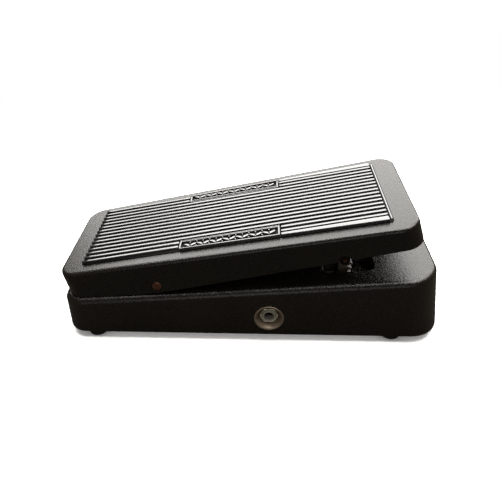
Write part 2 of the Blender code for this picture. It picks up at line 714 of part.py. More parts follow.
def rack_outline():
    """(x, z) from the pin: a bar with a rounded eye at the top and trapezoid
    teeth on its toe side."""
    pitch = math.pi * MODULE
    pitch_x = PINION_X - PINION_R - RACK_PIN_X
    tip_x = pitch_x + ADDENDUM
    root_x = pitch_x - DEDENDUM
    mesh_z = PINION_Z - RACK_PIN_Z
    half = pitch / 4.0 - BACKLASH / 2.0
    root_half = half + DEDENDUM * math.tan(PRESSURE_ANGLE)
    tip_half = half - ADDENDUM * math.tan(PRESSURE_ANGLE)
    bottom = mesh_z - RACK_BELOW_MESH
    points = [(-RACK_HALF, bottom), (root_x, bottom)]
    for i in range(RACK_TOOTH_COUNT):
        # a tooth space sits level with the pinion axis at rest
        centre = mesh_z + (i - 0.5) * pitch
        points += [(root_x, centre - root_half), (tip_x, centre - tip_half),
                   (tip_x, centre + tip_half), (root_x, centre + root_half)]
    points.append((root_x, points[-1][1] + 0.3))
    for k in range(9):
        angle = math.pi * k / 8
        points.append((RACK_HALF * math.cos(angle), RACK_HALF * math.sin(angle)))
    return points


def build_rack():
    hinge = empty("rack_hinge", RACK_PIN_X, RACK_PIN_Z)
    rack = part("rack", prism_y(rack_outline(), RACK_Y1, RACK_Y0), NYLON, parent=hinge)
    cut(rack, "rack_eye",
        crosswise(0, 0, RACK_Y0 - 1, RACK_Y1 + 1, RACK_PIN_R + PIN_CLEARANCE, 16))


def involute(angle):
    return math.tan(angle) - angle


def pinion_outline():
    """(x, z) about the axis, with one tooth pointing at the rack."""
    base_r = PINION_R * math.cos(PRESSURE_ANGLE)
    flank = []              # (radius, half angle of the tooth there)
    for radius in (base_r + 0.05, PINION_R, PINION_R + ADDENDUM):
        half = (math.pi / (2 * PINION_TEETH) - BACKLASH / (2 * PINION_R)
                + involute(PRESSURE_ANGLE) - involute(math.acos(base_r / radius)))
        flank.append((radius, half))
    flank.insert(0, (PINION_R - DEDENDUM, flank[0][1] + 0.03))
    tooth = [(radius, -half) for radius, half in flank] + flank[::-1]
    points = []
    for i in range(PINION_TEETH):
        middle = math.pi + math.tau * i / PINION_TEETH
        points += [(radius * math.cos(middle + turn), radius * math.sin(middle + turn))
                   for radius, turn in tooth]
    return points


def build_pinion():
    """Pinion and the potentiometer shaft it sits on."""
    axis = empty("pinion_axis", PINION_X, PINION_Z)
    pinion = part("pinion", prism_y(pinion_outline(), PINION_Y1, PINION_Y0), NYLON,
                  parent=axis)
    cut(pinion, "pinion_bore",
        crosswise(0, 0, PINION_Y0 - 1, PINION_Y1 + 1, PINION_BORE_R, 20))
    part("pot_shaft", crosswise(0, 0, SHAFT_Y0, SHAFT_Y1, SHAFT_R, 20), STEEL, parent=axis)


# =============================================================== potentiometer
# (radius, distance towards -Y): bush outside, then the can
POT_PROFILE = [(0.0, 8.6), (3.3, 8.6), (3.3, 19.4), (4.6, 19.4), (4.6, 13.7),
               (8.2, 13.7), (8.2, 4.2), (7.4, 3.4), (0.0, 3.4)]
BRACKET_Y0, BRACKET_Y1 = -15.5, -14.0
BRACKET_BORE_R, BRACKET_SCREW_HOLE_R = 4.9, 1.7
GUIDE_BOX = ((49.0, -27.4, 26.4), (56.9, -15.9, 34.0))


def build_potentiometer():
    frame = frame_at((PINION_X, 0, PINION_Z), (0, -1, 0))
    turned("pot_body", POT_PROFILE, DULL_NICKEL, 24, frame)
    hex_nut("pot_nut", "pot_nut_bore", frame, span=(15.8, 18.2), radius=7.1,
            bore_span=(15, 19), bore_radius=4.9, bore_segments=20)


def build_bracket():
    """A plate across the shaft with a flange under the deck, and its screws."""
    frame = deck_frame(72.6, BRACKET_SCREW_Y)
    bracket = part("pot_bracket",
                   box((49.0, BRACKET_Y0, 17.5), (96.1, BRACKET_Y1, 47.0)), STEEL)
    cut(bracket, "bracket_top", box((-40, -20, -4.4), (40, 20, 12.0)), frame)
    add(bracket, "flange", box((-23.0, -7.4, -6.1), (22.6, 4.0, -4.55)), frame)
    cut(bracket, "bracket_bore",
        crosswise(PINION_X, PINION_Z, -17, -12, BRACKET_BORE_R, 20))
    cut(bracket, "bracket_relief", box((53.6, -20.0, 10.0), (62.6, -12.0, 19.0)))
    for tag, x in BRACKET_SCREWS:
        screw_frame = deck_frame(x, BRACKET_SCREW_Y)
        cut(bracket, "bracket_hole_" + tag,
            upright(0, 0, -8.0, -3.0, BRACKET_SCREW_HOLE_R, 12), screw_frame)
        small_screw("bracket", tag, 0, 0, (-7.0, -1.9), (-8.4, -6.4), screw_frame)


def build_rack_guide():
    """Guide block on the heel side of the rack."""
    part("rack_guide", bevelled_box(*GUIDE_BOX, 0.6, 1), NYLON)


# ================================================================== footswitch
PLUNGER_TOP = 11.0          # above the deck
# (radius, height above the deck)
SWITCH_BODY_PROFILE = [(5.3, 6.2), (5.9, 5.6), (5.9, -5.6), (8.6, -5.6), (8.6, -19.0),
                       (0.0, -19.0), (0.0, -8.6), (4.3, -8.6), (4.3, 6.2)]
DRESS_NUT_PROFILE = [(8.0, 3.0), (8.6, 2.4), (8.6, 0.3), (6.1, 0.3), (6.1, 3.0)]
PLUNGER_PROFILE = [(0.0, PLUNGER_TOP), (2.4, PLUNGER_TOP - 0.15), (3.4, PLUNGER_TOP - 0.7),
                   (4.0, PLUNGER_TOP - 1.8), (4.0, -5.2), (0.0, -5.2)]


def build_footswitch():
    turned("footswitch_body", SWITCH_BODY_PROFILE, DULL_NICKEL, 28, SWITCH_FRAME)
    turned("footswitch_dress_nut", DRESS_NUT_PROFILE, NICKEL, 24, SWITCH_FRAME)
    hex_nut("footswitch_lock_nut", "lock_bore", SWITCH_FRAME, span=(-5.4, -3.4), radius=8.6,
            bore_span=(-6, -3), bore_radius=6.15)
    turned("footswitch_plunger", PLUNGER_PROFILE, NICKEL, 28, SWITCH_FRAME)


# ======================================================================= jacks
CUP_R = 9.8
# (radius, distance outward from the wall's outer face)
CUP_PROFILE = [(CUP_R - 0.3, 0.85), (CUP_R, 0.3), (8.9, 0.3), (8.5, -0.6), (7.1, -4.9),
               (5.0, -5.9), (5.0, -5.2), (6.6, -4.4), (8.1, -0.1), (8.9, 0.65)]
JACK_PROFILE = [(3.9, -1.4), (4.6, -2.0), (4.6, -6.3), (7.8, -6.3), (7.8, -29.0),
                (0.0, -29.0), (0.0, -27.6), (3.3, -27.6), (3.3, -1.4)]
POWER_PROFILE = [(3.95, 1.7), (3.95, -3.4), (6.2, -3.4), (6.2, -14.5),
                 (0.0, -14.5), (0.0, -11.0), (3.1, -11.0), (3.1, 1.7)]


def build_jack(tag, frame):
    """Dished washer, jack body and hexagon nut."""
    turned(tag + "_cup_washer", CUP_PROFILE, DULL_NICKEL, 28, frame)
    turned(tag + "_body", JACK_PROFILE, BLACK_PLASTIC, 20, frame)
    hex_nut(tag + "_nut", tag + "_nut_bore", frame, span=(-4.3, -2.3), radius=6.1,
            bore_span=(-6, -1), bore_radius=4.85, phase=math.radians(30.0))


def build_power_jack():
    turned("power_jack_body", POWER_PROFILE, BLACK_PLASTIC, 20, POWER_FRAME)
    hex_nut("power_jack_nut", "power_nut_bore", POWER_FRAME, span=(0.35, 1.6), radius=6.4,
            bore_span=(-1, 3), bore_radius=4.2)


# ============================================================== pivot hardware
# (radius, distance from the middle of the pedal): flange outside the tower
BUSH_PROFILE = [(6.1, TOWER_OUT_Y + 1.2), (6.1, TOWER_OUT_Y + 0.3),
                (BUSH_OUT_R, TOWER_OUT_Y + 0.3), (BUSH_OUT_R, TOWER_IN_Y - 0.3),
                (BUSH_IN_R, TOWER_IN_Y - 0.3), (BUSH_IN_R, TOWER_OUT_Y + 1.2)]
PAD_R, PAD_Z0, PAD_Z1 = 3.7, PIVOT_Z - 8.2, PIVOT_Z - 1.6
SPRING_TOP_Z = PIVOT_Z - 8.5
SPRING_LOW_Z = SPRING_TOP_Z - 6.0
SPRING_END_GAP = 0.6        # from these heights to the wire's centre line
SPRING_R, SPRING_WIRE_R = 2.7, 0.45
SPRING_TURNS, SPRING_STEPS_PER_TURN = 3.5, 12
FRICTION_SCREW_R = 3.75
# (radius, height above the deck)
HEEL_PAD_PROFILE = [(0.0, 4.6), (5.6, 4.6), (6.4, 3.9), (6.4, 0.3), (0.0, 0.3)]


def build_bushes():
    for tag, side in SIDES:
        turned("pivot_bush_" + tag, BUSH_PROFILE, NYLON, 24,
               frame_at((PIVOT_X, 0, PIVOT_Z), (0, side, 0)))


def build_friction_pad():
    """Pad under the rod, pushed up by a spring and a screw."""
    pad = part("friction_pad", upright(PIVOT_X, 0, PAD_Z0, PAD_Z1, PAD_R, 20), NYLON)
    cut(pad, "pad_saddle", crosswise(PIVOT_X, PIVOT_Z, -6, 6, ROD_R + 0.1, 32))


def build_friction_spring():
    steps = int(SPRING_TURNS * SPRING_STEPS_PER_TURN)
    rise = SPRING_TOP_Z - SPRING_LOW_Z - 2 * SPRING_END_GAP
    points = []
    for i in range(steps + 1):
        angle = math.tau * SPRING_TURNS * i / steps
        points.append((PIVOT_X + SPRING_R * math.cos(angle), SPRING_R * math.sin(angle),
                       SPRING_LOW_Z + SPRING_END_GAP + rise * i / steps))
    wire("friction_spring", points, SPRING_WIRE_R, STEEL, resolution=0)


def build_friction_screw():
    screw = part("friction_screw", upright(PIVOT_X, 0, SPRING_LOW_Z - 7.5,
                                           SPRING_LOW_Z - 0.2, FRICTION_SCREW_R, 20), STEEL)
    cut(screw, "friction_screw_slot", box((PIVOT_X - 5, -0.6, SPRING_LOW_Z - 9),
                                          (PIVOT_X + 5, 0.6, SPRING_LOW_Z - 6)))


def build_heel_stop_pad():
    x = PIVOT_X + HEEL_STOP_U * math.cos(TILT) - HEEL_POST_W * math.sin(TILT)
    turned("heel_stop_pad", HEEL_PAD_PROFILE, RUBBER, 24, deck_frame(x, 0.0))


# =============================================================== circuit board
# (radius, distance below the board)
INDUCTOR_PROFILE = [(0.0, 9.3), (6.6, 9.3), (7.4, 8.5), (7.4, 0.3), (0.0, 0.3)]
CAN_PROFILE = [(0.0, 9.6), (2.7, 9.6), (3.1, 9.1), (3.1, 0.3), (0.0, 0.3)]
# name, profile, finish, steps, x, y
TURNED_COMPONENTS = (("inductor", INDUCTOR_PROFILE, RED_FILM, 24, -82.4, -13.0),
                     ("capacitor_a", CAN_PROFILE, BLUE_CAN, 16, -77.4, 2.0),
                     ("capacitor_b", CAN_PROFILE, BLUE_CAN, 16, -85.9, 2.0))
TRANSISTOR_X, TRANSISTOR_R = -75.4, 2.5
TRANSISTORS = (("a", 10.0), ("b", 18.0))   # tag, y
BOARD_HOLE_R = 1.6


def build_board():
    board = part("circuit_board", box((BOARD_X0, -BOARD_HALF_Y, BOARD_Z0),
                                      (BOARD_X1, BOARD_HALF_Y, BOARD_Z1)), BOARD)
    for tag, y in BOARD_POSTS:
        cut(board, "board_hole_" + tag,
            upright(BOARD_POST_X, y, BOARD_Z0 - 1, BOARD_Z1 + 1, BOARD_HOLE_R, 12))
        small_screw("board", tag, BOARD_POST_X, y, (BOARD_Z0 - 0.5, BOARD_Z1 + 5.0),
                    (BOARD_Z0 - 2.0, BOARD_Z0 - 0.3))


def build_components():
    """Components hanging from the board's lower face."""
    for name, profile, look, steps, x, y in TURNED_COMPONENTS:
        turned(name, profile, look, steps, frame_at((x, y, BOARD_Z0), (0, 0, -1)))
    part("film_capacitor", bevelled_box((-86.9, 16.0, BOARD_Z0 - 8.3),
                                        (-78.4, 20.5, BOARD_Z0 - 0.3), 0.6, 1), RED_FILM)
    x = TRANSISTOR_X
    for tag, y in TRANSISTORS:
        body = part("transistor_" + tag,
                    upright(x, y, BOARD_Z0 - 5.2, BOARD_Z0 - 0.3, TRANSISTOR_R, 16),
                    BLACK_PLASTIC)
        cut(body, "transistor_flat_" + tag,
            box((x + 1.2, y - 4, BOARD_Z0 - 7), (x + 5, y + 4, BOARD_Z0 + 1)))


# =========================================================== battery and wires
# Opposite corners of each box
BATTERY_BOX = ((-45.4, -9.0, 9.9), (-19.0, 39.0, 27.2))
SNAP_BOX = ((-44.8, -13.2, 10.5), (-19.6, -9.3, 26.6))
FOAM_BOX = ((-48.4, -16.0, 8.0), (-16.4, 40.0, 9.6))
BUNDLE_R = 1.1
SAMPLES_PER_SPAN = 4
# Control points (x, y, z) of each wire bundle; all end at the circuit board
BUNDLES = (
    ("wire_input_jack", (
        (9.6, -18.2, 19.5), (8.6, -14.0, 18.0), (-3.4, -20.0, 14.0),
        (-31.4, -24.0, 13.0), (-55.4, -22.0, 14.0), (-69.0, -18.0, 19.4))),
    ("wire_battery", (
        (-32.2, -14.6, 19.0), (-35.0, -18.0, 20.5), (-46.4, -17.0, 22.0),
        (-60.0, -12.5, 20.5), (-69.0, -10.0, 19.4))),
    ("wire_pot", (
        (70.6, -1.8, 27.0), (64.6, 2.0, 20.0), (38.6, 6.0, 14.0),
        (2.6, 2.0, 12.0), (-9.4, 4.0, 20.0), (-17.4, 0.0, 29.6),
        (-41.4, 4.0, 30.0), (-51.4, 12.0, 24.0), (-69.0, 14.0, 19.4))),
    ("wire_footswitch", (
        (92.2, 8.0, 27.4), (91.1, 10.5, 19.0), (68.6, 18.0, 13.0),
        (28.6, 14.0, 12.0), (-1.4, 12.0, 14.0), (-9.4, 14.0, 22.0),
        (-17.4, 14.0, 29.6), (-41.4, 18.0, 30.0), (-51.4, 22.0, 24.0),
        (-69.0, 22.0, 19.4))),
)


def build_battery():
    part("battery", bevelled_box(*BATTERY_BOX, 1.6, 2), BATTERY)
    part("battery_snap", bevelled_box(*SNAP_BOX, 0.8, 1), BLACK_PLASTIC)
    part("battery_foam", box(*FOAM_BOX), FELT)


def smooth_path(controls):
    """Catmull-Rom points through the control points."""
    knots = [Vector(point) for point in controls]
    knots = [knots[0] * 2 - knots[1]] + knots + [knots[-1] * 2 - knots[-2]]
    points = []
    for i in range(1, len(knots) - 2):
        before, start, end, after = knots[i - 1:i + 3]
        for k in range(SAMPLES_PER_SPAN):
            t = k / SAMPLES_PER_SPAN
            points.append(0.5 * ((2 * start) + (end - before) * t
                                 + (2 * before - 5 * start + 4 * end - after) * t * t
                                 + (3 * start - before - 3 * end + after) * t ** 3))
    points.append(knots[-2])
    return points


def build_wires():
    for name, controls in BUNDLES:
        wire(name, smooth_path(controls), BUNDLE_R, WIRE, resolution=1)


# ==================================================================== assembly
def build_pedal():
    # The housing comes before the bracket: both have "bracket_hole" cutters,
    # and the later ones take a numbered name.
    build_housing()
    build_bottom_plate()
    for tag, x, y in FEET:
        build_foot(tag, x, y)

    # Everything that rocks hangs from this empty on the pivot axis
    pivot = empty("treadle_pivot", PIVOT_X, PIVOT_Z)
    pivot.rotation_euler = (0.0, -TILT, 0.0)
    build_treadle(pivot)
    build_mat(pivot)
    build_pivot_rod(pivot)
    build_toe_bumper(pivot)
    build_rack_pin(pivot)

    build_rack()
    build_pinion()
    build_potentiometer()
    build_bracket()
    build_rack_guide()
    build_footswitch()
    build_jack("input_jack", INPUT_FRAME)
    build_jack("output_jack", OUTPUT_FRAME)
    build_power_jack()
    build_bushes()
    build_friction_pad()
    build_friction_spring()
    build_friction_screw()
    build_heel_stop_pad()
    build_board()
    build_components()
    build_battery()
    build_wires()


build_pedal()
bpy.context.view_layer.update()
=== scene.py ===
"""Looks of a rocker foot pedal: base casting, tilting treadle with a ribbed rubber
mat, jacks, feet, footswitch, rack and pinion, with a studio floor, lights and camera.

The heel is at -x and the toe at +x, the near side at -y and the far side at +y, and
the feet stand on z = 0.  Shapes are worked out in millimetres and written in metres.
Treadle and mat shapes are drawn in TREADLE_FRAME: origin on the pivot axis, x along
the treadle towards the toe, z square to its top."""
import math

import bmesh
import bpy
from mathutils import Matrix, Vector, noise


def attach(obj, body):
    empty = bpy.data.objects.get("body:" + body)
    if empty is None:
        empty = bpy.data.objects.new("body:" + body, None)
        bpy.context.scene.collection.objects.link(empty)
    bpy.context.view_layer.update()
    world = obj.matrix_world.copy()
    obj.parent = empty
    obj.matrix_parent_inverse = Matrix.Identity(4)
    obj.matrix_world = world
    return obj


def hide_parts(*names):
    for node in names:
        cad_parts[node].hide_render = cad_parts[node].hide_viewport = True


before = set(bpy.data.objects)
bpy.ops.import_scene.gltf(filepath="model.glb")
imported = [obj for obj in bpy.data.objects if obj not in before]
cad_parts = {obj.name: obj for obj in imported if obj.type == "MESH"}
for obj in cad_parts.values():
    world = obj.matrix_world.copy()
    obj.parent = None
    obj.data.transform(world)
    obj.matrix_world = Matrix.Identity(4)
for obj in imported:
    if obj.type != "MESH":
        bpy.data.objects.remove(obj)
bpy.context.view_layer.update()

scene = bpy.context.scene
pieces = bpy.data.collections.new("pedal")
scene.collection.children.link(pieces)

# ============================================================ driving dimensions
MILLI = 0.001               # metres in a millimetre
# base casting; a draft is the inward lean per millimetre of height
TOE_X = 126.5
HEEL_X = -TOE_X
HEEL_HALF, TOE_HALF = 46.557, 50.943        # half widths at the rim
RIM_Z = 6.0
DECK_HEEL_Z, DECK_TOE_Z = 30.095, 50.805
SIDE_DRAFT, TOE_DRAFT, HEEL_DRAFT = 0.057, 0.14, 0.03
CORNER_HEEL, CORNER_TOE = 14.5, 20.5
FILLET, WALL = 4.0, 3.0
# treadle, in its own frame
PIVOT_X, PIVOT_Z = -60.0, 42.2
TILT = math.radians(10.57)
TREADLE_HEEL_X, TREADLE_TOE_X = -63.2, 166.2
TREADLE_HALF, TREADLE_TAPER = 42.55, 0.0305     # half width at the pivot, gain per mm
TREADLE_TOP_Z, TREADLE_REF_Z, TREADLE_UNDER_Z = 17.7, 15.6, 14.0
TREADLE_DRAFTS = (0.052, 0.155, 0.02)           # side, toe, heel
TREADLE_CORNER, TREADLE_FILLET, TREADLE_WALL = 12.0, 2.5, 2.8
RIB_ROOT_Z = 14.8           # top of what is added inside, buried in the treadle's roof
HEEL_BOSS_X, HEEL_BOSS_Z = -45.0, 3.9           # boss that lands on the heel stop
# mat, in the treadle's frame
MAT_HEEL_X, MAT_TOE_X = -47.6, 150.8
MAT_HALF_HEEL, MAT_HALF_TOE = 31.95, 37.55
MAT_BOTTOM_Z, MAT_FLOOR_Z, MAT_TOP_Z, POCKET_Z = 16.5, 18.0, 19.95, 16.2
RIB_FOOT_Z = MAT_FLOOR_Z - 0.25
RIBS, RIB_PITCH, RIB_WIDTH = 17, 4.42, 2.0
PANEL_X0, PANEL_X1, PANEL_Y = 19.5, 83.0, 25.4  # framed strips, outside +-PANEL_Y
# running gear
ROD_R, ROD_HALF = 3.25, 43.5
TOWER_IN_Y, TOWER_OUT_Y = 28.5, 36.5
MODULE, PINION_TEETH = 1.25, 13
PRESSURE_ANGLE = math.radians(20.0)
PINION_R = MODULE * PINION_TEETH / 2.0
PINION_TIP_R, PINION_ROOT_R = PINION_R + MODULE * 0.95, PINION_R - MODULE * 1.2
PINION_X, PINION_Z = 73.2, 31.0
PINION_Y0, PINION_Y1 = -27.3, -21.3
RACK_PIN_X, RACK_PIN_Z = 60.6, 53.5
RACK_Y0, RACK_Y1 = -27.8, -20.8
RACK_PIN_R, RACK_BORE_R = 1.5, 1.75
BACKLASH = 0.36
SLOT_X0, SLOT_X1, SLOT_Y0, SLOT_Y1 = 47.5, 80.6, -32.0, -11.5
# controls, sockets and feet
SWITCH_X, SWITCH_Y, PLUNGER_H = 90.6, 8.0, 11.0
JACK_X, JACK_Z = 11.9, 19.5
POWER_X, POWER_Z = 38.6, 21.0
PLATE_INSET, PLATE_Z0, PLATE_Z1 = WALL + 0.9, 6.3, 7.7
FEET = (("front_near", 94.2, -42.0), ("front_far", 94.2, 42.0),
        ("rear_near", -106.6, -39.2), ("rear_far", -106.6, 39.2))

DECK_SLOPE = (DECK_TOE_Z - DECK_HEEL_Z) / (TOE_X - HEEL_X)
DECK_ANGLE = math.atan(DECK_SLOPE)
SIDE_TAPER = (TOE_HALF - HEEL_HALF) / (TOE_X - HEEL_X)


def deck_z(x):
    return DECK_HEEL_Z + DECK_SLOPE * (x - HEEL_X)


def base_half(x, z):
    return HEEL_HALF + SIDE_TAPER * (x - HEEL_X) - SIDE_DRAFT * (z - RIM_Z)


def treadle_half(x):
    return TREADLE_HALF + TREADLE_TAPER * x


def mat_half(x):
    return MAT_HALF_HEEL + (MAT_HALF_TOE - MAT_HALF_HEEL) * (x - MAT_HEEL_X) / (
        MAT_TOE_X - MAT_HEEL_X)


# ======================================================================== frames
def frame_at(point, normal):
    """Frame at a point with z along the normal and x as near world x as it can be."""
    z = Vector(normal).normalized()
    x = Vector((1, 0, 0))
    x = (x - z * x.dot(z)).normalized()
    y = z.cross(x)
    matrix = Matrix((x, y, z)).transposed().to_4x4()
    matrix.translation = Vector(point)
    return matrix


def side_frame(x, z, side):
    """Frame on the outer face of a long wall; side is -1 near, 1 far."""
    return frame_at((x, side * base_half(x, z), z), (-SIDE_TAPER, side, SIDE_DRAFT))


def deck_frame(x, y):
    return frame_at((x, y, deck_z(x)), (-math.sin(DECK_ANGLE), 0, math.cos(DECK_ANGLE)))


TREADLE_FRAME = (Matrix.Translation((PIVOT_X, 0, PIVOT_Z))
                 @ Matrix.Rotation(-TILT, 4, 'Y'))
FACE_NEAR = Matrix.Rotation(math.radians(90), 4, 'X')       # turns z to -y
NEAR_JACK_FRAME = side_frame(JACK_X, JACK_Z, -1)
FAR_JACK_FRAME = side_frame(JACK_X, JACK_Z, 1)
POWER_FRAME = side_frame(POWER_X, POWER_Z, 1)
SWITCH_FRAME = deck_frame(SWITCH_X, SWITCH_Y)
SLOT_FRAME = deck_frame((SLOT_X0 + SLOT_X1) / 2.0, (SLOT_Y0 + SLOT_Y1) / 2.0)
PINION_FRAME = Matrix.Translation((PINION_X, 0, PINION_Z))
SHAFT_FRAME = PINION_FRAME @ FACE_NEAR
RACK_FRAME = Matrix.Translation((RACK_PIN_X, 0, RACK_PIN_Z))

# the rack's pin in the treadle's frame
RACK_DX, RACK_DZ = RACK_PIN_X - PIVOT_X, RACK_PIN_Z - PIVOT_Z
LUG_X = RACK_DX * math.cos(TILT) + RACK_DZ * math.sin(TILT)
LUG_Z = -RACK_DX * math.sin(TILT) + RACK_DZ * math.cos(TILT)


# ====================================================================== outlines
def arc(centre_x, centre_y, radius, start, end, seg):
    """Points on an arc in degrees, as (x, y) pairs."""
    angles = [math.radians(start + (end - start) * i / seg) for i in range(seg + 1)]
    return [(centre_x + radius * math.cos(angle), centre_y + radius * math.sin(angle))
            for angle in angles]


def circle(radius, seg=48):
    return [(radius * math.cos(math.tau * i / seg), radius * math.sin(math.tau * i / seg))
            for i in range(seg)]


def rounded(corners, radii, seg):
    """Polygon with each corner turned into an arc."""
    points = []
    for i, radius in enumerate(radii):
        corner = Vector(corners[i])
        back = (Vector(corners[i - 1]) - corner).normalized()
        ahead = (Vector(corners[(i + 1) % len(corners)]) - corner).normalized()
        half = math.acos(max(-1.0, min(1.0, back.dot(ahead)))) / 2.0
        centre = corner + (back + ahead).normalized() * (radius / math.sin(half))
        spoke = corner + back * (radius / math.tan(half)) - centre
        sweep = math.pi - 2.0 * half
        for k in range(seg + 1):
            cos, sin = math.cos(sweep * k / seg), math.sin(sweep * k / seg)
            points.append(Vector((centre.x + spoke.x * cos - spoke.y * sin,
                                  centre.y + spoke.x * sin + spoke.y * cos)))
    return points


def inset(heel, toe, half_heel, half_toe, by_side, by_toe, by_heel):
    """Corners of a tapered plan whose edges are moved inwards."""
    slope = (half_toe - half_heel) / (toe - heel)
    length = math.hypot(1.0, slope)

    def half(x):
        return half_heel + slope * (x - heel) - by_side * length
    x0, x1 = heel + by_heel, toe - by_toe
    return [(x0, -half(x0)), (x1, -half(x1)), (x1, half(x1)), (x0, half(x0))]


# ================================================================= solid shapes
def bridge(shell, first, second):
    """Joins two rings of equal count with quads."""
    for i in range(len(first)):
        j = (i + 1) % len(first)
        shell.faces.new((first[i], second[i], second[j], first[j]))


def loft(rings):
    """Capped solid through rings of (x, y, z) points."""
    shell = bmesh.new()
    rows = [[shell.verts.new(point) for point in ring] for ring in rings]
    for lower, upper in zip(rows[:-1], rows[1:]):
        for i in range(len(lower)):
            j = (i + 1) % len(lower)
            shell.faces.new((lower[i], lower[j], upper[j], upper[i]))
    shell.faces.new(list(reversed(rows[0])))
    shell.faces.new(rows[-1])
    return shell


def slab(outline, *heights):
    """Solid with an (x, y) outline at each height."""
    return loft([[(x, y, z) for x, y in outline] for z in heights])


def prism(outline, first_y, last_y):
    """Solid with an (x, z) outline between two values of y."""
    return loft([[(x, y, z) for x, z in outline] for y in (first_y, last_y)])


def box(low, high, bevel=0.0, seg=2):
    shell = bmesh.new()
    low, high = Vector(low), Vector(high)
    bmesh.ops.create_cube(shell, size=1.0)
    bmesh.ops.scale(shell, verts=shell.verts, vec=high - low)
    bmesh.ops.translate(shell, verts=shell.verts, vec=(low + high) / 2)
    if bevel:
        bmesh.ops.bevel(shell, geom=shell.edges[:], offset=bevel, segments=seg,
                        affect='EDGES', profile=0.5)
    return shell


def rod(start, end, radius, seg=48, phase=0.0):
    start, end = Vector(start), Vector(end)
    axis = end - start
    place = (Matrix.Translation((start + end) / 2)
             @ axis.to_track_quat('Z', 'Y').to_matrix().to_4x4()
             @ Matrix.Rotation(phase, 4, 'Z'))
    shell = bmesh.new()
    bmesh.ops.create_cone(shell, cap_ends=True, segments=seg, radius1=radius,
                          radius2=radius, depth=axis.length, matrix=place)
    return shell


def lathe(profile, seg=64):
    """Closed solid of revolution about z; the profile runs down the outer side and up
    the inner side, in (radius, z) pairs.  One that starts off the axis is a ring."""
    shell = bmesh.new()
    rows = []
    for radius, z in profile:
        section = circle(radius, seg) if radius > 1e-6 else [(0, 0)]
        rows.append([shell.verts.new((x, y, z)) for x, y in section])
    pairs = list(zip(rows[:-1], rows[1:]))
    if profile[0][0] > 1e-6:
        pairs.append((rows[-1], rows[0]))
    for first, second in pairs:
        if len(first) == len(second):
            bridge(shell, first, second)
            continue
        for i in range(seg):
            j = (i + 1) % seg
            if len(first) == 1:
                shell.faces.new((first[0], second[i], second[j]))
            else:
                shell.faces.new((first[i], second[0], first[j]))
    bmesh.ops.recalc_face_normals(shell, faces=shell.faces)
    return shell


def flared(outline, bottom, top, mouth, radius, seg=5):
    """Cutter that opens out with a quarter round that ends at z = mouth."""
    points = [Vector(point) for point in outline]
    normals = []
    for i, point in enumerate(points):
        along = ((point - points[i - 1]).normalized()
                 + (points[(i + 1) % len(points)] - point).normalized())
        normals.append(Vector((along.y, -along.x)).normalized())

    def ring(growth, z):
        grown = [point + normal * growth for point, normal in zip(points, normals)]
        return [(point.x, point.y, z) for point in grown]
    rings = [ring(0.0, bottom)]
    for i in range(seg + 1):
        angle = math.radians(90.0 * i / seg)
        rings.append(ring(radius * (1.0 - math.cos(angle)),
                          mouth - radius + radius * math.sin(angle)))
    rings.append(ring(radius + 0.02, top))
    return loft(rings)


def thread(turns, top, pitch, section):
    """Profile of stacked ridges; section is (radius, drop) for one of them."""
    return [(radius, top - pitch * i - drop)
            for i in range(turns) for radius, drop in section]


def merge(target, other):
    """Adds other to target as a separate closed shell."""
    mesh = bpy.data.meshes.new("tmp")
    other.to_mesh(mesh)
    other.free()
    target.from_mesh(mesh)
    bpy.data.meshes.remove(mesh)


# ================================================================= object tools
def raw_object(name, shell, place=None):
    """Object in metres from a shape in millimetres."""
    if place is not None:
        bmesh.ops.transform(shell, matrix=place, verts=shell.verts)
    bmesh.ops.scale(shell, verts=shell.verts, vec=(MILLI, MILLI, MILLI))
    mesh = bpy.data.meshes.new(name)
    shell.to_mesh(mesh)
    shell.free()
    obj = bpy.data.objects.new(name, mesh)
    pieces.objects.link(obj)
    return obj


def discard(obj):
    mesh = obj.data
    bpy.data.objects.remove(obj)
    bpy.data.meshes.remove(mesh)


def bake(obj):
    """Applies every modifier."""
    depsgraph = bpy.context.evaluated_depsgraph_get()
    mesh = bpy.data.meshes.new_from_object(obj.evaluated_get(depsgraph))
    old = obj.data
    obj.modifiers.clear()
    obj.data = mesh
    bpy.data.meshes.remove(old)


def add(shell, place=None):
    return 'UNION', shell, place


def cut(shell, place=None):
    return 'DIFFERENCE', shell, place


def carve(obj, steps):
    """Applies (operation, shape, place) steps in turn."""
    tools = []
    for i, (operation, shell, place) in enumerate(steps):
        tool = raw_object("tool_%s_%d" % (obj.name, i), shell, place)
        tool.hide_render = True
        tools.append(tool)
        modifier = obj.modifiers.new("b%d" % i, 'BOOLEAN')
        modifier.operation = operation
        modifier.solver = 'EXACT'
        modifier.object = tool
    bake(obj)
    for tool in tools:
        discard(tool)
    shell = bmesh.new()
    shell.from_mesh(obj.data)
    bmesh.ops.remove_doubles(shell, verts=shell.verts, dist=2e-6)
    bmesh.ops.dissolve_degenerate(shell, edges=shell.edges, dist=1e-6)
    shell.to_mesh(obj.data)
    shell.free()


def soften(obj, width, seg=2, angle=35.0):
    """Rounds the edges sharper than angle; width is in millimetres."""
    bevel = obj.modifiers.new("bevel", 'BEVEL')
    bevel.width = width * MILLI
    bevel.segments = seg
    bevel.limit_method = 'ANGLE'
    bevel.angle_limit = math.radians(angle)
    bevel.use_clamp_overlap = True
    bevel.harden_normals = False
    bevel.miter_outer = 'MITER_ARC'
    bake(obj)


def dress(obj, material, body, slot, replaces=None, angle=35.0, weight=True):
    """Material, shading, the body the piece rides on and the solid it replaces."""
    obj.data.materials.clear()
    obj.data.materials.append(material)
    obj.data.shade_smooth()
    obj.data.set_sharp_from_angle(angle=math.radians(angle))
    if weight:
        modifier = obj.modifiers.new("normals", 'WEIGHTED_NORMAL')
        modifier.keep_sharp = True
        modifier.weight = 50
    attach(obj, body)
    if replaces:
        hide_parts(replaces)


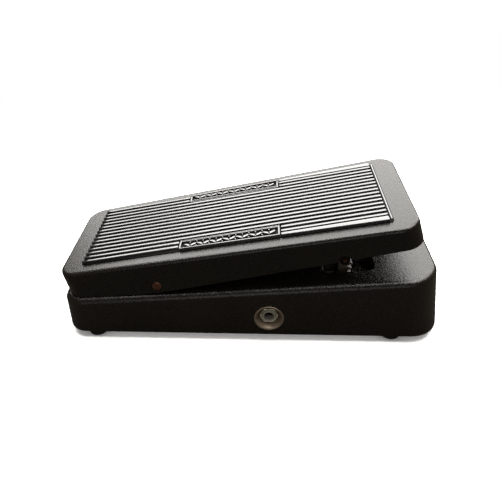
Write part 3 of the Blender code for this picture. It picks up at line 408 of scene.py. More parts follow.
def piece(name, shell, material, body, slot, place=None, **finish):
    dress(raw_object(name, shell, place), material, body, slot, **finish)


# ================================================================ material tools
def feed(socket, value):
    """Links a socket to another, or sets its value."""
    if isinstance(value, bpy.types.NodeSocket):
        socket.id_data.links.new(value, socket)
    else:
        socket.default_value = value


def add_node(tree, kind, inputs=None, **settings):
    """New shader node; inputs maps input names or numbers to values or sockets."""
    node = tree.nodes.new("ShaderNode" + kind)
    for key, value in settings.items():
        setattr(node, key, value)
    for key, value in (inputs or {}).items():
        feed(node.inputs[key], value)
    return node


def rgba(tint, gain=1.0):
    return (*(min(1.0, channel * gain) for channel in tint), 1.0)


class Surface:
    """Material around a Principled shader, textured in object coordinates."""

    def __init__(self, name):
        self.material = bpy.data.materials.new(name)
        self.material.use_nodes = True
        self.tree = self.material.node_tree
        self.position = self.node("TexCoord").outputs["Object"]

    def node(self, kind, inputs=None, **settings):
        return add_node(self.tree, kind, inputs, **settings)

    def noise(self, scale, detail, rough, distortion=0.0, vector=None):
        return self.node("TexNoise", {
            "Scale": scale, "Detail": detail, "Roughness": rough,
            "Distortion": distortion, "Vector": vector or self.position}).outputs["Fac"]

    def remap(self, value, source, target):
        return self.node("MapRange", {
            "From Min": source[0], "From Max": source[1],
            "To Min": target[0], "To Max": target[1], "Value": value}).outputs["Result"]

    def math(self, operation, first, second):
        return self.node("Math", {0: first, 1: second},
                         operation=operation).outputs["Value"]

    def mix(self, factor, first, second):
        """Colour mix; inputs 6 and 7 and output 2 are the node's colour sockets."""
        return self.node("Mix", {0: factor, 6: first, 7: second},
                         data_type='RGBA').outputs[2]

    def mottle(self, pattern, source, tint, dark, light):
        """The tint, varied between two gains by a pattern."""
        return self.mix(self.remap(pattern, source=source, target=(0.0, 1.0)),
                        rgba(tint, dark), rgba(tint, light))

    def bump(self, height, strength, distance):
        return self.node("Bump", {"Strength": strength, "Distance": distance,
                                  "Height": height}).outputs["Normal"]

    def finish(self, inputs):
        principled = self.tree.nodes["Principled BSDF"]
        for key, value in inputs.items():
            feed(principled.inputs[key], value)
        return self.material


def paint(name, tint, grain, rough, specular):
    """Black textured paint on a casting: fine crinkle with pale specks."""
    surface = Surface(name)
    big = surface.noise(scale=38.0, detail=3.0, rough=0.6)
    fine = surface.noise(scale=2400.0, detail=2.0, rough=0.6)
    middle = surface.noise(scale=1150.0, detail=2.0, rough=0.6, distortion=0.4)
    cells = surface.node("TexVoronoi", {"Scale": 1300.0, "Vector": surface.position},
                         feature='SMOOTH_F1').outputs["Distance"]
    ground = surface.mottle(big, source=(0.35, 0.65), tint=tint, dark=0.85, light=1.2)
    specks = surface.remap(middle, source=(0.54, 0.72), target=(0.0, 0.5))
    height = surface.math('ADD', surface.math('MULTIPLY', middle, 1.0),
                          surface.math('ADD', surface.math('MULTIPLY', cells, 0.6),
                                       surface.math('MULTIPLY', fine, 0.2)))
    return surface.finish({
        "Base Color": surface.mix(specks, ground, rgba(tint, gain=3.0)),
        "Roughness": surface.remap(middle, source=(0.3, 0.7),
                                   target=(rough - 0.05, rough + 0.07)),
        "Normal": surface.bump(height, strength=grain, distance=0.0003),
        "Specular IOR Level": surface.remap(middle, source=(0.3, 0.7),
                                            target=(specular * 0.8, specular * 1.2))})


def rubber(name, tint, rough, grain_scale, grain, specular):
    surface = Surface(name)
    big = surface.noise(scale=60.0, detail=3.0, rough=0.6)
    fine = surface.noise(scale=grain_scale, detail=3.0, rough=0.6)
    patches = surface.math('ADD', big, surface.math('MULTIPLY', fine, 0.5))
    return surface.finish({
        "Base Color": surface.mottle(big, source=(0.35, 0.65), tint=tint,
                                     dark=0.8, light=1.35),
        "Roughness": surface.remap(patches, source=(0.5, 1.0),
                                   target=(rough - 0.06, rough + 0.08)),
        "Normal": surface.bump(fine, strength=grain, distance=0.0001),
        "Specular IOR Level": specular})


def metal(name, tint, rough, brushed=False, spots=0.0, spot_tint=None, metallic=1.0):
    """Plated or bare metal with fine grain, smudges and, if asked, tarnish spots.
    Brushed metal has its grain drawn out along x."""
    surface = Surface(name)
    if brushed:
        stretched = surface.node("Mapping", {"Scale": (60.0, 2600.0, 2600.0),
                                             "Vector": surface.position})
        grain = surface.noise(scale=1.0, detail=4.0, rough=0.7,
                              vector=stretched.outputs["Vector"])
    else:
        grain = surface.noise(scale=900.0, detail=4.0, rough=0.65)
    smudge = surface.noise(scale=120.0, detail=4.0, rough=0.6)
    colour = surface.mottle(smudge, source=(0.3, 0.7), tint=tint, dark=0.86, light=1.1)
    if spots:
        tarnish = surface.noise(scale=260.0, detail=5.0, rough=0.7)
        colour = surface.mix(
            surface.remap(tarnish, source=(0.52, 0.7), target=(0.0, spots)),
            colour, rgba(spot_tint))
    return surface.finish({
        "Base Color": colour,
        "Metallic": metallic,
        "Roughness": surface.remap(surface.math('ADD', grain, smudge),
                                   source=(0.7, 1.3),
                                   target=(max(0.04, rough - 0.08), rough + 0.12)),
        "Normal": surface.bump(grain, strength=0.12, distance=0.00006)})


def plastic(name, tint, rough, grain=0.1, specular=0.5, subsurface=0.0):
    surface = Surface(name)
    fine = surface.noise(scale=1500.0, detail=3.0, rough=0.6)
    big = surface.noise(scale=90.0, detail=2.0, rough=0.5)
    inputs = {
        "Base Color": surface.mottle(big, source=(0.35, 0.65), tint=tint,
                                     dark=0.9, light=1.08),
        "Roughness": surface.remap(fine, source=(0.3, 0.7),
                                   target=(rough - 0.05, rough + 0.07)),
        "Normal": surface.bump(fine, strength=grain, distance=0.00008),
        "Specular IOR Level": specular}
    if subsurface:
        inputs["Subsurface Weight"] = subsurface
        inputs["Subsurface Radius"] = (0.002, 0.002, 0.0015)
    return surface.finish(inputs)


def board_material():
    """Green circuit board: woven ground under a brick grid of paler lines."""
    surface = Surface("board_green")
    weave = surface.node("TexWave", {
        "Scale": 900.0, "Distortion": 1.0, "Vector": surface.position},
        wave_type='BANDS', bands_direction='DIAGONAL').outputs["Fac"]
    traces = surface.node("TexBrick", {
        "Scale": 300.0, "Mortar Size": 0.06, "Brick Width": 1.4, "Row Height": 0.7,
        "Color1": (0, 0, 0, 1), "Color2": (0, 0, 0, 1), "Mortar": (1, 1, 1, 1),
        "Vector": surface.position}, offset=0.5).outputs["Color"]
    ground = surface.mix(weave, rgba((0.03, 0.12, 0.045)), rgba((0.04, 0.15, 0.055)))
    return surface.finish({
        "Base Color": surface.mix(traces, ground, rgba((0.07, 0.24, 0.09))),
        "Roughness": 0.3,
        "Normal": surface.bump(traces, strength=0.3, distance=0.00005)})


# ===================================================================== materials
base_paint = paint("paint_base", tint=(0.0072, 0.0056, 0.0036), grain=0.5,
                   rough=0.29, specular=0.52)
treadle_paint = paint("paint_treadle", tint=(0.0062, 0.0052, 0.0038), grain=0.33,
                      rough=0.25, specular=0.42)
# The mat is one rubber. The sheet between the ribs gets a darker, duller copy of it,
# which is painted shade in the grooves; the ribs and panels keep the lighter, glossier
# copy.
rib_rubber = rubber("rubber_ribs", tint=(0.016, 0.0155, 0.0145), rough=0.16,
                    grain_scale=2600.0, grain=0.1, specular=1.7)
groove_shade_rubber = rubber("rubber_groove_shade", tint=(0.006, 0.0056, 0.005), rough=0.6,
                      grain_scale=1800.0, grain=0.3, specular=0.12)
panel_rubber = rubber("rubber_panel", tint=(0.018, 0.0172, 0.016), rough=0.18,
                      grain_scale=2400.0, grain=0.15, specular=1.7)
foot_rubber = rubber("rubber_feet", tint=(0.012, 0.012, 0.012), rough=0.6,
                     grain_scale=1300.0, grain=0.4, specular=0.35)
stop_rubber = rubber("rubber_stops", tint=(0.02, 0.02, 0.02), rough=0.7,
                     grain_scale=1200.0, grain=0.4, specular=0.3)
nickel = metal("plate_nickel", tint=(0.72, 0.68, 0.58), rough=0.24, spots=0.25,
               spot_tint=(0.2, 0.15, 0.1), metallic=0.7)
dull_nickel = metal("plate_dull", tint=(0.25, 0.195, 0.14), rough=0.42, spots=0.45,
                    spot_tint=(0.2, 0.14, 0.09), metallic=0.5)
zinc = metal("plate_zinc", tint=(0.55, 0.55, 0.54), rough=0.34, spots=0.2,
             spot_tint=(0.3, 0.28, 0.24))
sheet_steel = metal("sheet_steel", tint=(0.42, 0.42, 0.42), rough=0.36, brushed=True,
                    spots=0.15, spot_tint=(0.25, 0.22, 0.2))
copper = metal("plate_copper", tint=(0.27, 0.13, 0.09), rough=0.33, spots=0.6,
               spot_tint=(0.12, 0.06, 0.045))
# brighter, less metallic copy of the nickel for the jack nuts: painted light, so they
# read as brightly lit
lit_nut_nickel = metal("plate_nut_lit", tint=(0.92, 0.88, 0.72), rough=0.22, spots=0.2,
                  spot_tint=(0.35, 0.28, 0.2), metallic=0.35)
nylon = plastic("nylon", tint=(0.5, 0.46, 0.37), rough=0.42, grain=0.12, subsurface=0.2)
gear_nylon = plastic("nylon_gear", tint=(0.10, 0.08, 0.058), rough=0.33, grain=0.15,
                     specular=0.6)
black_plastic = plastic("plastic_black", tint=(0.012, 0.012, 0.013), rough=0.36,
                        grain=0.15)
red_film = plastic("film_red", tint=(0.36, 0.05, 0.025), rough=0.22, grain=0.05,
                   specular=0.6)
blue_can = plastic("can_blue", tint=(0.03, 0.06, 0.2), rough=0.28, grain=0.05,
                   specular=0.6)
battery_jacket = metal("battery_jacket", tint=(0.09, 0.1, 0.12), rough=0.3,
                       brushed=True)
snap_plastic = plastic("snap_black", tint=(0.014, 0.014, 0.015), rough=0.45, grain=0.2)
foam = rubber("foam_grey", tint=(0.05, 0.05, 0.055), rough=0.9, grain_scale=900.0,
              grain=1.0, specular=0.1)
wire_black = plastic("wire_black", tint=(0.015, 0.015, 0.017), rough=0.4)
wire_red = plastic("wire_red", tint=(0.35, 0.03, 0.02), rough=0.4)
wire_green = plastic("wire_green", tint=(0.03, 0.2, 0.06), rough=0.4)
wire_white = plastic("wire_white", tint=(0.6, 0.6, 0.56), rough=0.4)
brass = metal("brass", tint=(0.6, 0.42, 0.18), rough=0.3, spots=0.3,
              spot_tint=(0.3, 0.18, 0.07))
# darker, duller copy of the black plastic for the jack bodies behind the bushes: painted
# shade, so the bores read black
bore_shade_plastic = plastic("bore_shade_plastic", tint=(0.006, 0.006, 0.006), rough=0.6,
                      specular=0.2)
board_green = board_material()

# ================================================================== base casting
FILLET_ANGLES = range(0, 91, 10)        # steps up an outer fillet, in degrees
HOLLOW_ANGLES = (0, 45, 90)
HOLLOW_SEG = 10


def base_radii(depth):
    heel, toe = CORNER_HEEL - depth, CORNER_TOE - depth
    return [heel, toe, toe, heel]


def base_rim(wall, seg):
    """Lowest ring; a hollow's reaches further down and widens with the drafts."""
    drop, spread = (5.0, 5.0) if wall else (0.6, 0.0)
    corners = inset(HEEL_X, TOE_X, HEEL_HALF, TOE_HALF,
                    *(wall - spread * draft
                      for draft in (SIDE_DRAFT, TOE_DRAFT, HEEL_DRAFT)))
    return [(x, y, RIM_Z - drop) for x, y in rounded(corners, base_radii(wall), seg)]


def base_shoulder(wall, degrees, seg):
    """Ring on the fillet between the walls and the sloping deck."""
    angle = math.radians(degrees)
    fillet = max(FILLET - wall, 0.8)
    depth = wall + fillet * (1.0 - math.cos(angle))
    heel_h, toe_h = DECK_HEEL_Z - RIM_Z, DECK_TOE_Z - RIM_Z
    corners = inset(HEEL_X, TOE_X, HEEL_HALF - SIDE_DRAFT * heel_h,
                    TOE_HALF - SIDE_DRAFT * toe_h, depth,
                    depth + TOE_DRAFT * toe_h, depth + HEEL_DRAFT * heel_h)
    return [(x, y, deck_z(x) - wall - fillet + fillet * math.sin(angle))
            for x, y in rounded(corners, base_radii(depth), seg)]


def base_solid(wall, angles, seg):
    return loft([base_rim(wall, seg)]
                + [base_shoulder(wall, degrees, seg) for degrees in angles])


def pivot_steps():
    """Two bored towers for the bushes and a bored post between them."""
    radius, bore = 6.6, 5.1
    post_radius, post_bore = 6.2, 4.1
    deck = deck_z(PIVOT_X)
    outline = ([(PIVOT_X - radius, deck - 2.0), (PIVOT_X + radius, deck - 2.0)]
               + arc(PIVOT_X, PIVOT_Z, radius, 0, 180, 24))
    steps = []
    for side in (-1, 1):
        y0, y1 = sorted((side * TOWER_IN_Y, side * TOWER_OUT_Y))
        steps.append(add(prism(outline, y1, y0)))
    steps.append(add(rod((PIVOT_X, 0, deck - 12.0), (PIVOT_X, 0, PIVOT_Z - 4.2),
                         post_radius)))
    for side in (-1, 1):
        steps.append(cut(rod((PIVOT_X, side * (TOWER_IN_Y - 1), PIVOT_Z),
                             (PIVOT_X, side * (TOWER_OUT_Y + 1), PIVOT_Z), bore)))
    steps.append(cut(rod((PIVOT_X, 0, deck - 14.0), (PIVOT_X, 0, PIVOT_Z), post_bore)))
    return steps


def hanging_post(x, y, radius, bottom, bore, bore_z0, bore_z1):
    """Bored post that hangs from the underside of the deck."""
    return [add(rod((x, y, bottom), (x, y, deck_z(x) - 1.5), radius, 32)),
            cut(rod((x, y, bore_z0), (x, y, bore_z1), bore, 24))]


def post_steps():
    steps = []
    for _, x, y in FEET:
        steps += hanging_post(x, y, radius=4.6, bottom=8.2,
                              bore=1.75, bore_z0=5.0, bore_z1=22.0)
    for y in (-25.5, 25.5):
        steps += hanging_post(-90.4, y, radius=3.2, bottom=20.5,
                              bore=1.35, bore_z0=19.7, bore_z1=26.2)
    # short bosses square to the deck, beside the rack slot
    for x in (54.6, 91.1):
        place = deck_frame(x, -7.4)
        steps.append(add(rod((0, 0, -4.2), (0, 0, -2.0), 3.4, 32), place))
        steps.append(cut(rod((0, 0, -9.0), (0, 0, -1.4), 1.35, 24), place))
    return steps


def opening_steps():
    """Rolled-edge openings: rack slot, footswitch, two jacks and the power jack."""
    half_x, half_y = (SLOT_X1 - SLOT_X0) / 2.0 - 0.1, (SLOT_Y1 - SLOT_Y0) / 2.0
    slot = rounded([(-half_x, -half_y), (half_x, -half_y), (half_x, half_y),
                    (-half_x, half_y)], [4.5] * 4, 10)
    steps = [cut(flared(slot, -12.0, 4.0, mouth=0.0, radius=0.7), SLOT_FRAME),
             cut(flared(circle(6.4), -8.0, 4.0, mouth=0.0, radius=0.5), SWITCH_FRAME)]
    for place, opening in ((NEAR_JACK_FRAME, circle(9.2, 64)),
                           (FAR_JACK_FRAME, circle(9.2, 64)),
                           (POWER_FRAME, circle(4.25))):
        steps.append(cut(flared(opening, -8.0, 3.0, mouth=0.0, radius=0.35, seg=3),
                         place))
    return steps


def make_housing():
    obj = raw_object("base_shell", base_solid(0.0, FILLET_ANGLES, 20))
    carve(obj, [cut(base_solid(WALL, HOLLOW_ANGLES, HOLLOW_SEG))]
          + pivot_steps() + post_steps() + opening_steps())
    soften(obj, 0.45, 3, 40.0)
    dress(obj, base_paint, "base", "housing_black", "base_housing", 50.0)


make_housing()


# ======================================================================= treadle
def skirt_z(x):
    """Lower edge: two straight lines, one each side of a low point, blended."""
    low_x, low_z = -6.0, -5.35
    heel_slope, toe_slope = -0.100, 0.0525
    blend, lift = 0.54, 0.35
    heel = low_z + heel_slope * (x - low_x)
    toe = low_z + toe_slope * (x - low_x)
    return (heel + toe) / 2.0 + math.sqrt((toe - heel) ** 2 / 4.0 + blend) - lift


def treadle_outline(wall, extra, z, seg):
    drop = TREADLE_REF_Z - z
    corners = inset(TREADLE_HEEL_X, TREADLE_TOE_X,
                    treadle_half(TREADLE_HEEL_X), treadle_half(TREADLE_TOE_X),
                    *(wall + extra - draft * drop for draft in TREADLE_DRAFTS))
    return rounded(corners, [TREADLE_CORNER - wall - extra] * 4, seg)


def treadle_solid(wall, top, bottom, angles, seg):
    rings = [[(x, y, bottom) for x, y in treadle_outline(wall, 0.0, bottom, seg)]]
    fillet = max(TREADLE_FILLET - wall, 0.8)
    for degrees in angles:
        angle = math.radians(degrees)
        z = top - fillet + fillet * math.sin(angle)
        outline = treadle_outline(wall, fillet * (1.0 - math.cos(angle)),
                                  top - fillet, seg)
        rings.append([(x, y, z) for x, y in outline])
    return loft(rings)


def skirt_cutter():
    """Everything below the skirt's lower edge."""
    edge = [TREADLE_HEEL_X - 12.0 + 254.0 * i / 120.0 for i in range(121)]
    below = -22.0
    return prism([(x, skirt_z(x)) for x in edge] + [(edge[-1], below), (edge[0], below)],
                 -70.0, 70.0)


def rod_ear_steps():
    """Bored ears on the pivot axis, inside each skirt."""
    steps = []
    for side in (-1, 1):
        y0, y1 = sorted((side * 38.1, side * 42.0))
        steps += [add(rod((0, y0, 0), (0, y1, 0), 5.6)),
                  add(box((-3.0, y0 + 0.3, 4.6), (3.0, y1 - 0.3, RIB_ROOT_Z))),
                  cut(rod((0, side * 36, 0), (0, side * 46, 0), ROD_R + 0.22))]
    return steps


def rack_lug_steps():
    """Two lugs that carry the rack's pin."""
    radius = 3.4
    outline = ([(LUG_X + radius, RIB_ROOT_Z), (LUG_X - radius, RIB_ROOT_Z)]
               + arc(LUG_X, LUG_Z, radius, 180, 360, 20))
    steps = []
    for y0, y1 in ((-31.0, -28.3), (-20.3, -17.6)):
        steps += [add(prism(outline, y1, y0)),
                  cut(rod((LUG_X, y0 - 1, LUG_Z), (LUG_X, y1 + 1, LUG_Z),
                          RACK_BORE_R, 32))]
    return steps


def mat_outline(gap, radius):
    """The mat's plan, grown by gap."""
    x0, x1 = MAT_HEEL_X - gap, MAT_TOE_X + gap
    half_heel, half_toe = MAT_HALF_HEEL + gap, MAT_HALF_TOE + gap
    return rounded([(x0, -half_heel), (x1, -half_toe), (x1, half_toe), (x0, half_heel)],
                   [radius] * 4, 8)


def make_treadle():
    obj = raw_object("treadle_cover",
                     treadle_solid(0.0, TREADLE_TOP_Z, -12.0, FILLET_ANGLES, 18),
                     TREADLE_FRAME)
    steps = [cut(treadle_solid(TREADLE_WALL, TREADLE_UNDER_Z, -15.0, HOLLOW_ANGLES,
                               HOLLOW_SEG)),
             cut(skirt_cutter())]
    steps += rod_ear_steps() + rack_lug_steps()
    steps.append(add(rod((HEEL_BOSS_X, 0, HEEL_BOSS_Z), (HEEL_BOSS_X, 0, RIB_ROOT_Z),
                         5.0)))
    # two cross ribs under the top
    for x in (20.0, 84.0):
        half = treadle_half(x) - 2.0
        steps.append(add(box((x - 1.2, -half, 8.0), (x + 1.2, half, RIB_ROOT_Z))))
    # round notch in the near skirt's lower edge
    notch_x = 119.8
    notch_z = skirt_z(notch_x) + 0.4
    steps.append(cut(rod((notch_x, -60.0, notch_z), (notch_x, -36.0, notch_z), 3.7, 40)))
    # pocket for the mat
    steps.append(cut(flared(mat_outline(0.5, 2.0), POCKET_Z, TREADLE_TOP_Z + 2.0,
                            mouth=TREADLE_TOP_Z, radius=0.3, seg=3)))
    carve(obj, [(operation, shell, TREADLE_FRAME) for operation, shell, _ in steps])
    soften(obj, 0.4, 3, 40.0)
    dress(obj, treadle_paint, "treadle", "treadle_black", "treadle", 50.0)


make_treadle()


# ===================================================================== tread mat
def make_sheet():
    # the sheet's material is the mat rubber darkened as painted shade between the ribs
    obj = raw_object("mat_sheet", slab(mat_outline(0.0, 1.5), MAT_BOTTOM_Z, MAT_FLOOR_Z),
                     TREADLE_FRAME)
    soften(obj, 0.15, 1)
    dress(obj, groove_shade_rubber, "treadle", "mat_rubber", "tread_mat")


def rib_section(low, high, top, radius):
    """Section of a rib from low to high across it, with round shoulders and a slight
    crown; pairs of (place across, z)."""
    radius = max(0.05, min(radius, (high - low) * 0.49, (top - RIB_FOOT_Z) * 0.9))
    crown = 0.06 * min(1.0, (high - low) / RIB_WIDTH)
    return [(low, RIB_FOOT_Z),
            *reversed(arc(low + radius, top - radius, radius, 90, 180, 4)),
            ((low + high) / 2.0, top + crown),
            *reversed(arc(high - radius, top - radius, radius, 0, 90, 4)),
            (high, RIB_FOOT_Z)]


def rib_ring(x, low, high, top, radius):
    """A rib's section across y, wound for a loft towards the toe."""
    return [(x, y, z) for y, z in reversed(rib_section(low, high, top, radius))]


def end_roll(distance, radius):
    """Height share near a rolled end: 0 at the end, 1 from radius inwards."""
    if distance > radius:
        return 1.0
    return math.sqrt(max(0.0, 1.0 - ((radius - distance) / radius) ** 2))


def rib_bar(low, high, x0, x1, seed):
    """A rib from x0 to x1, clipped to the mat's tapered sides, with rolled ends and a
    slightly uneven top."""
    end, end_steps, step = 0.6, 5, 4.0
    wear = 0.012
    curve = [end * (1 - math.cos(math.radians(90 * i / end_steps))) * 0.999
             for i in range(end_steps + 1)]
    straight = x1 - x0 - 2 * end
    count = int(straight / step)
    stations = ([x0 + offset for offset in curve]
                + [x0 + end + straight * i / count for i in range(1, count)]
                + [x1 - offset for offset in reversed(curve)])
    rings = []
    for x in stations:
        half = mat_half(x) - 0.05
        roll = end_roll(min(x - x0, x1 - x), end)
        waves = (noise.noise(Vector((x * 0.055, seed * 3.7, 1.3))) * wear
                 + noise.noise(Vector((x * 0.31, seed * 5.1, 7.7))) * wear * 0.5)
        top = MAT_FLOOR_Z - 0.1 + (MAT_TOP_Z - MAT_FLOOR_Z + 0.1 + waves - 0.06) * (
            0.35 + 0.65 * roll)
        narrow = (1.0 - roll) * 0.55
        rings.append(rib_ring(x, max(low, -half) + narrow, min(high, half) - narrow,
                              top, 0.4))
    return loft(rings)


def toe_bead():
    """Thin bead across the mat's toe edge."""
    half = mat_half(MAT_TOE_X) - 0.35
    rings = []
    for i in range(61):
        y = -half + 2 * half * i / 60.0
        roll = end_roll(min(y + half, half - y), 0.8)
        top = MAT_FLOOR_Z + (MAT_TOP_Z - 0.15 - MAT_FLOOR_Z) * (0.35 + 0.65 * roll)
        rings.append([(x, y, z) for x, z in
                      rib_section(MAT_TOE_X - 1.2, MAT_TOE_X - 0.12, top, 0.45)])
    return loft(rings)


def make_ribs():
    """Lengthwise ribs; the outer ones stop either side of the framed panels."""
    edge_inner, edge_outer = 33.3, 60.0     # outermost ribs, clipped to the mat's side
    heel_end, toe_end = MAT_HEEL_X + 0.25, MAT_TOE_X - 1.75
    bars = bmesh.new()
    for i in range(RIBS):
        centre = (i - (RIBS - 1) / 2.0) * RIB_PITCH
        low, high = centre - RIB_WIDTH / 2.0, centre + RIB_WIDTH / 2.0
        if i == 0:
            low, high = -edge_outer, -edge_inner
        if i == RIBS - 1:
            low, high = edge_inner, edge_outer
        spans = [(heel_end, toe_end)]
        if abs(centre) > PANEL_Y:
            spans = [(heel_end, PANEL_X0 - 1.0), (PANEL_X1 + 1.0, toe_end)]
        for j, (x0, x1) in enumerate(spans):
            # the mat is too narrow at the heel for the outermost ribs
            if i in (0, RIBS - 1) and j == 0:
                continue
            merge(bars, rib_bar(low, high, x0, x1, i + 0.37 * j))
    merge(bars, toe_bead())
    piece("mat_ribs", bars, rib_rubber, "treadle", "mat_rubber", TREADLE_FRAME,
          angle=60.0, weight=False)


def panel_line(side, inner, outer, top, radius):
    """Lengthwise line of a panel's frame; inner and outer give |y| at x."""
    rings = []
    for i in range(25):
        x = PANEL_X0 + (PANEL_X1 - PANEL_X0) * i / 24.0
        low, high = sorted((side * inner(x), side * outer(x)))
        rings.append(rib_ring(x, low, high, top, radius))
    return loft(rings)


def panel(side):
    """Framed strip along a long edge, with slanted lozenges between round studs."""
    shell = bmesh.new()
    frame_top = MAT_TOP_Z - 0.02
    merge(shell, panel_line(side, lambda x: PANEL_Y + 0.45, lambda x: PANEL_Y + 1.25,
                            frame_top, 0.3))
    merge(shell, panel_line(side, lambda x: PANEL_Y - 0.95, lambda x: PANEL_Y - 0.35,
                            MAT_TOP_Z - 0.35, 0.25))
    merge(shell, panel_line(side, lambda x: mat_half(x) - 1.15,
                            lambda x: mat_half(x) - 0.12, frame_top, 0.4))
    bottom = MAT_FLOOR_Z - 0.2
    for x in (PANEL_X0, PANEL_X1):
        y0, y1 = sorted((side * (PANEL_Y - 0.9), side * (mat_half(x) - 0.15)))
        merge(shell, box((x - 0.55, y0, bottom), (x + 0.55, y1, frame_top), 0.25))

    middle = side * (PANEL_Y + mat_half((PANEL_X0 + PANEL_X1) / 2)) / 2.0
    top = MAT_TOP_Z - 0.08
    count, margin, slant = 14, 4.2, 28
    pitch = (PANEL_X1 - PANEL_X0 - 2 * margin) / (count - 1)
    outline = rounded([(-2.0, -0.85), (2.0, -0.85), (2.0, 0.85), (-2.0, 0.85)],
                      [0.5] * 4, 4)
    for i in range(count):
        x = PANEL_X0 + margin + pitch * i
        lozenge = loft([[(px, py, bottom) for px, py in outline],
                        [(px, py, top - 0.15) for px, py in outline],
                        [(px * 0.9, py * 0.75, top) for px, py in outline]])
        place = (Matrix.Translation((x, middle + side * 0.35, 0))
                 @ Matrix.Rotation(math.radians(slant if i % 2 else -slant), 4, 'Z'))
        bmesh.ops.transform(lozenge, matrix=place, verts=lozenge.verts)
        merge(shell, lozenge)
        if i == count - 1:
            continue
        for offset in (-2.05, 2.35):
            stud = lathe([(0.0, top), (0.35, top - 0.05), (0.62, top - 0.3),
                          (0.7, bottom), (0.0, bottom)], 14)
            bmesh.ops.translate(stud, verts=stud.verts,
                                vec=(x + pitch / 2.0, middle + side * 0.2 + offset, 0))
            merge(shell, stud)
    return shell


make_sheet()
make_ribs()
for tag, side in (("near", -1), ("far", 1)):
    piece("mat_panel_" + tag, panel(side), panel_rubber, "treadle", "mat_rubber",
          TREADLE_FRAME, angle=50.0, weight=False)


# ============================================================ pivot rod, bushes
def make_pivot_rod():
    edge = 0.45
    profile = ([(0.0, ROD_HALF), (1.2, ROD_HALF)]
               + arc(ROD_R - edge, ROD_HALF - edge, edge, 90, 0, 5)
               + arc(ROD_R - edge, -ROD_HALF + edge, edge, 0, -90, 5)
               + [(1.2, -ROD_HALF), (0.0, -ROD_HALF)])
    piece("pivot_pin", lathe(profile, 72), copper, "treadle", "copper_pin",
          TREADLE_FRAME @ FACE_NEAR, replaces="pivot_rod")


def make_bush(tag, side):
    """Flanged bush in a tower; z runs outwards from the middle of the pedal."""
    profile = [(5.8, TOWER_OUT_Y + 1.2), (6.1, TOWER_OUT_Y + 0.9),
               (6.1, TOWER_OUT_Y + 0.3), (4.9, TOWER_OUT_Y + 0.3),
               (4.9, TOWER_IN_Y), (4.6, TOWER_IN_Y - 0.3),
               (3.6, TOWER_IN_Y - 0.3), (3.35, TOWER_IN_Y - 0.05),
               (3.35, TOWER_OUT_Y + 0.95), (3.6, TOWER_OUT_Y + 1.2)]
    piece("bush_" + tag, lathe(profile), nylon, "base", "nylon",
          frame_at((PIVOT_X, 0, PIVOT_Z), (0, side, 0)), replaces="pivot_bush_" + tag)


make_pivot_rod()
make_bush("near", -1)
make_bush("far", 1)


# ========================================================================= jacks
def hex_nut(across, z0, z1, bore):
    """Hexagon nut about z with chamfered corners and a countersunk bore."""
    flat, point = across / 2.0, across / math.sqrt(3.0)
    nut = raw_object("hex_tmp", rod((0, 0, z0), (0, 0, z1), point, 6,
                                    phase=math.radians(30)))
    envelope = [(0.0, z1 + 0.001), (flat - 0.1, z1 + 0.001),
                (point + 0.3, z1 - (point - flat) * 0.55),
                (point + 0.3, z0 + (point - flat) * 0.3),
                (flat + 0.1, z0 - 0.001), (0.0, z0 - 0.001)]
    hole = [(0.0, z1 + 1.0), (bore + 1.35, z1 + 1.0), (bore, z1 - 0.35),
            (bore, z0 + 0.3), (bore + 1.3, z0 - 1.0), (0.0, z0 - 1.0)]
    carve(nut, [('INTERSECT', lathe(envelope, 96), None), cut(lathe(hole))])
    soften(nut, 0.22, 2, 25.0)
    shell = bmesh.new()
    shell.from_mesh(nut.data)
    bmesh.ops.scale(shell, verts=shell.verts, vec=(1 / MILLI,) * 3)
    discard(nut)
    return shell


def jack_cup():
    """Dished washer, in (radius, z) pairs: lip, outer wall, floor, inner wall."""
    return ([(9.3, 0.84)] + arc(9.45, 0.5, 0.35, 60, -40, 5)
            + [(9.5, 0.28), (8.95, 0.3), (8.6, -0.25)]
            + [(8.5 - 0.23 * i, -0.6 - 0.72 * i) for i in range(1, 6)]
            + [(6.9, -5.05), (6.0, -5.6), (5.05, -5.85), (5.0, -5.75),
               (5.0, -5.25), (5.15, -5.2), (5.9, -5.0), (6.6, -4.45)]
            + [(6.85 + 0.21 * i, -4.0 + 0.66 * i) for i in range(6)]
            + [(8.15, 0.05), (8.45, 0.5), (8.85, 0.78)])


def make_jack(tag, place):
    piece(tag + "_cup", lathe(jack_cup(), 96), dull_nickel, "base", "dull_nickel",
          place, replaces=tag + "_cup_washer", angle=60.0)
    # the nut gets the brightened nickel, painted light
    piece(tag + "_hex", hex_nut(10.57, -4.3, -2.3, 4.85), lit_nut_nickel, "base", "nickel",
          place, replaces=tag + "_nut", angle=30.0)
    bush = ([(3.55, -1.4), (3.95, -1.4), (4.25, -1.65)]
            + thread(8, -1.8, 0.55, ((4.6, 0.12), (4.62, 0.22), (4.36, 0.46)))
            + [(4.4, -6.3), (4.4, -6.9), (3.3, -6.9), (3.3, -1.65)])
    piece(tag + "_bush", lathe(bush), nickel, "base", "nickel", place,
          replaces=tag + "_body", angle=30.0)
    # body behind the bush
    socket = raw_object(tag + "_socket", lathe(
        [(0.0, -6.3), (7.4, -6.3), (7.8, -6.7), (7.8, -28.6), (7.4, -29.0),
         (0.0, -29.0)], 48), place)
    carve(socket, [cut(rod((0, 0, -27.6), (0, 0, -5.0), 3.28), place),
                   cut(rod((0, 0, -7.0), (0, 0, -5.0), 4.62), place)])
    # the body gets the darkened plastic, painted shade in the bore
    dress(socket, bore_shade_plastic, "base", "black_plastic")
    # flat contact inside the bore
    piece(tag + "_contact", box((-0.9, 2.35, -21.0), (0.9, 2.6, -11.0), 0.08, 1),
          brass, "base", "copper_pin", place)


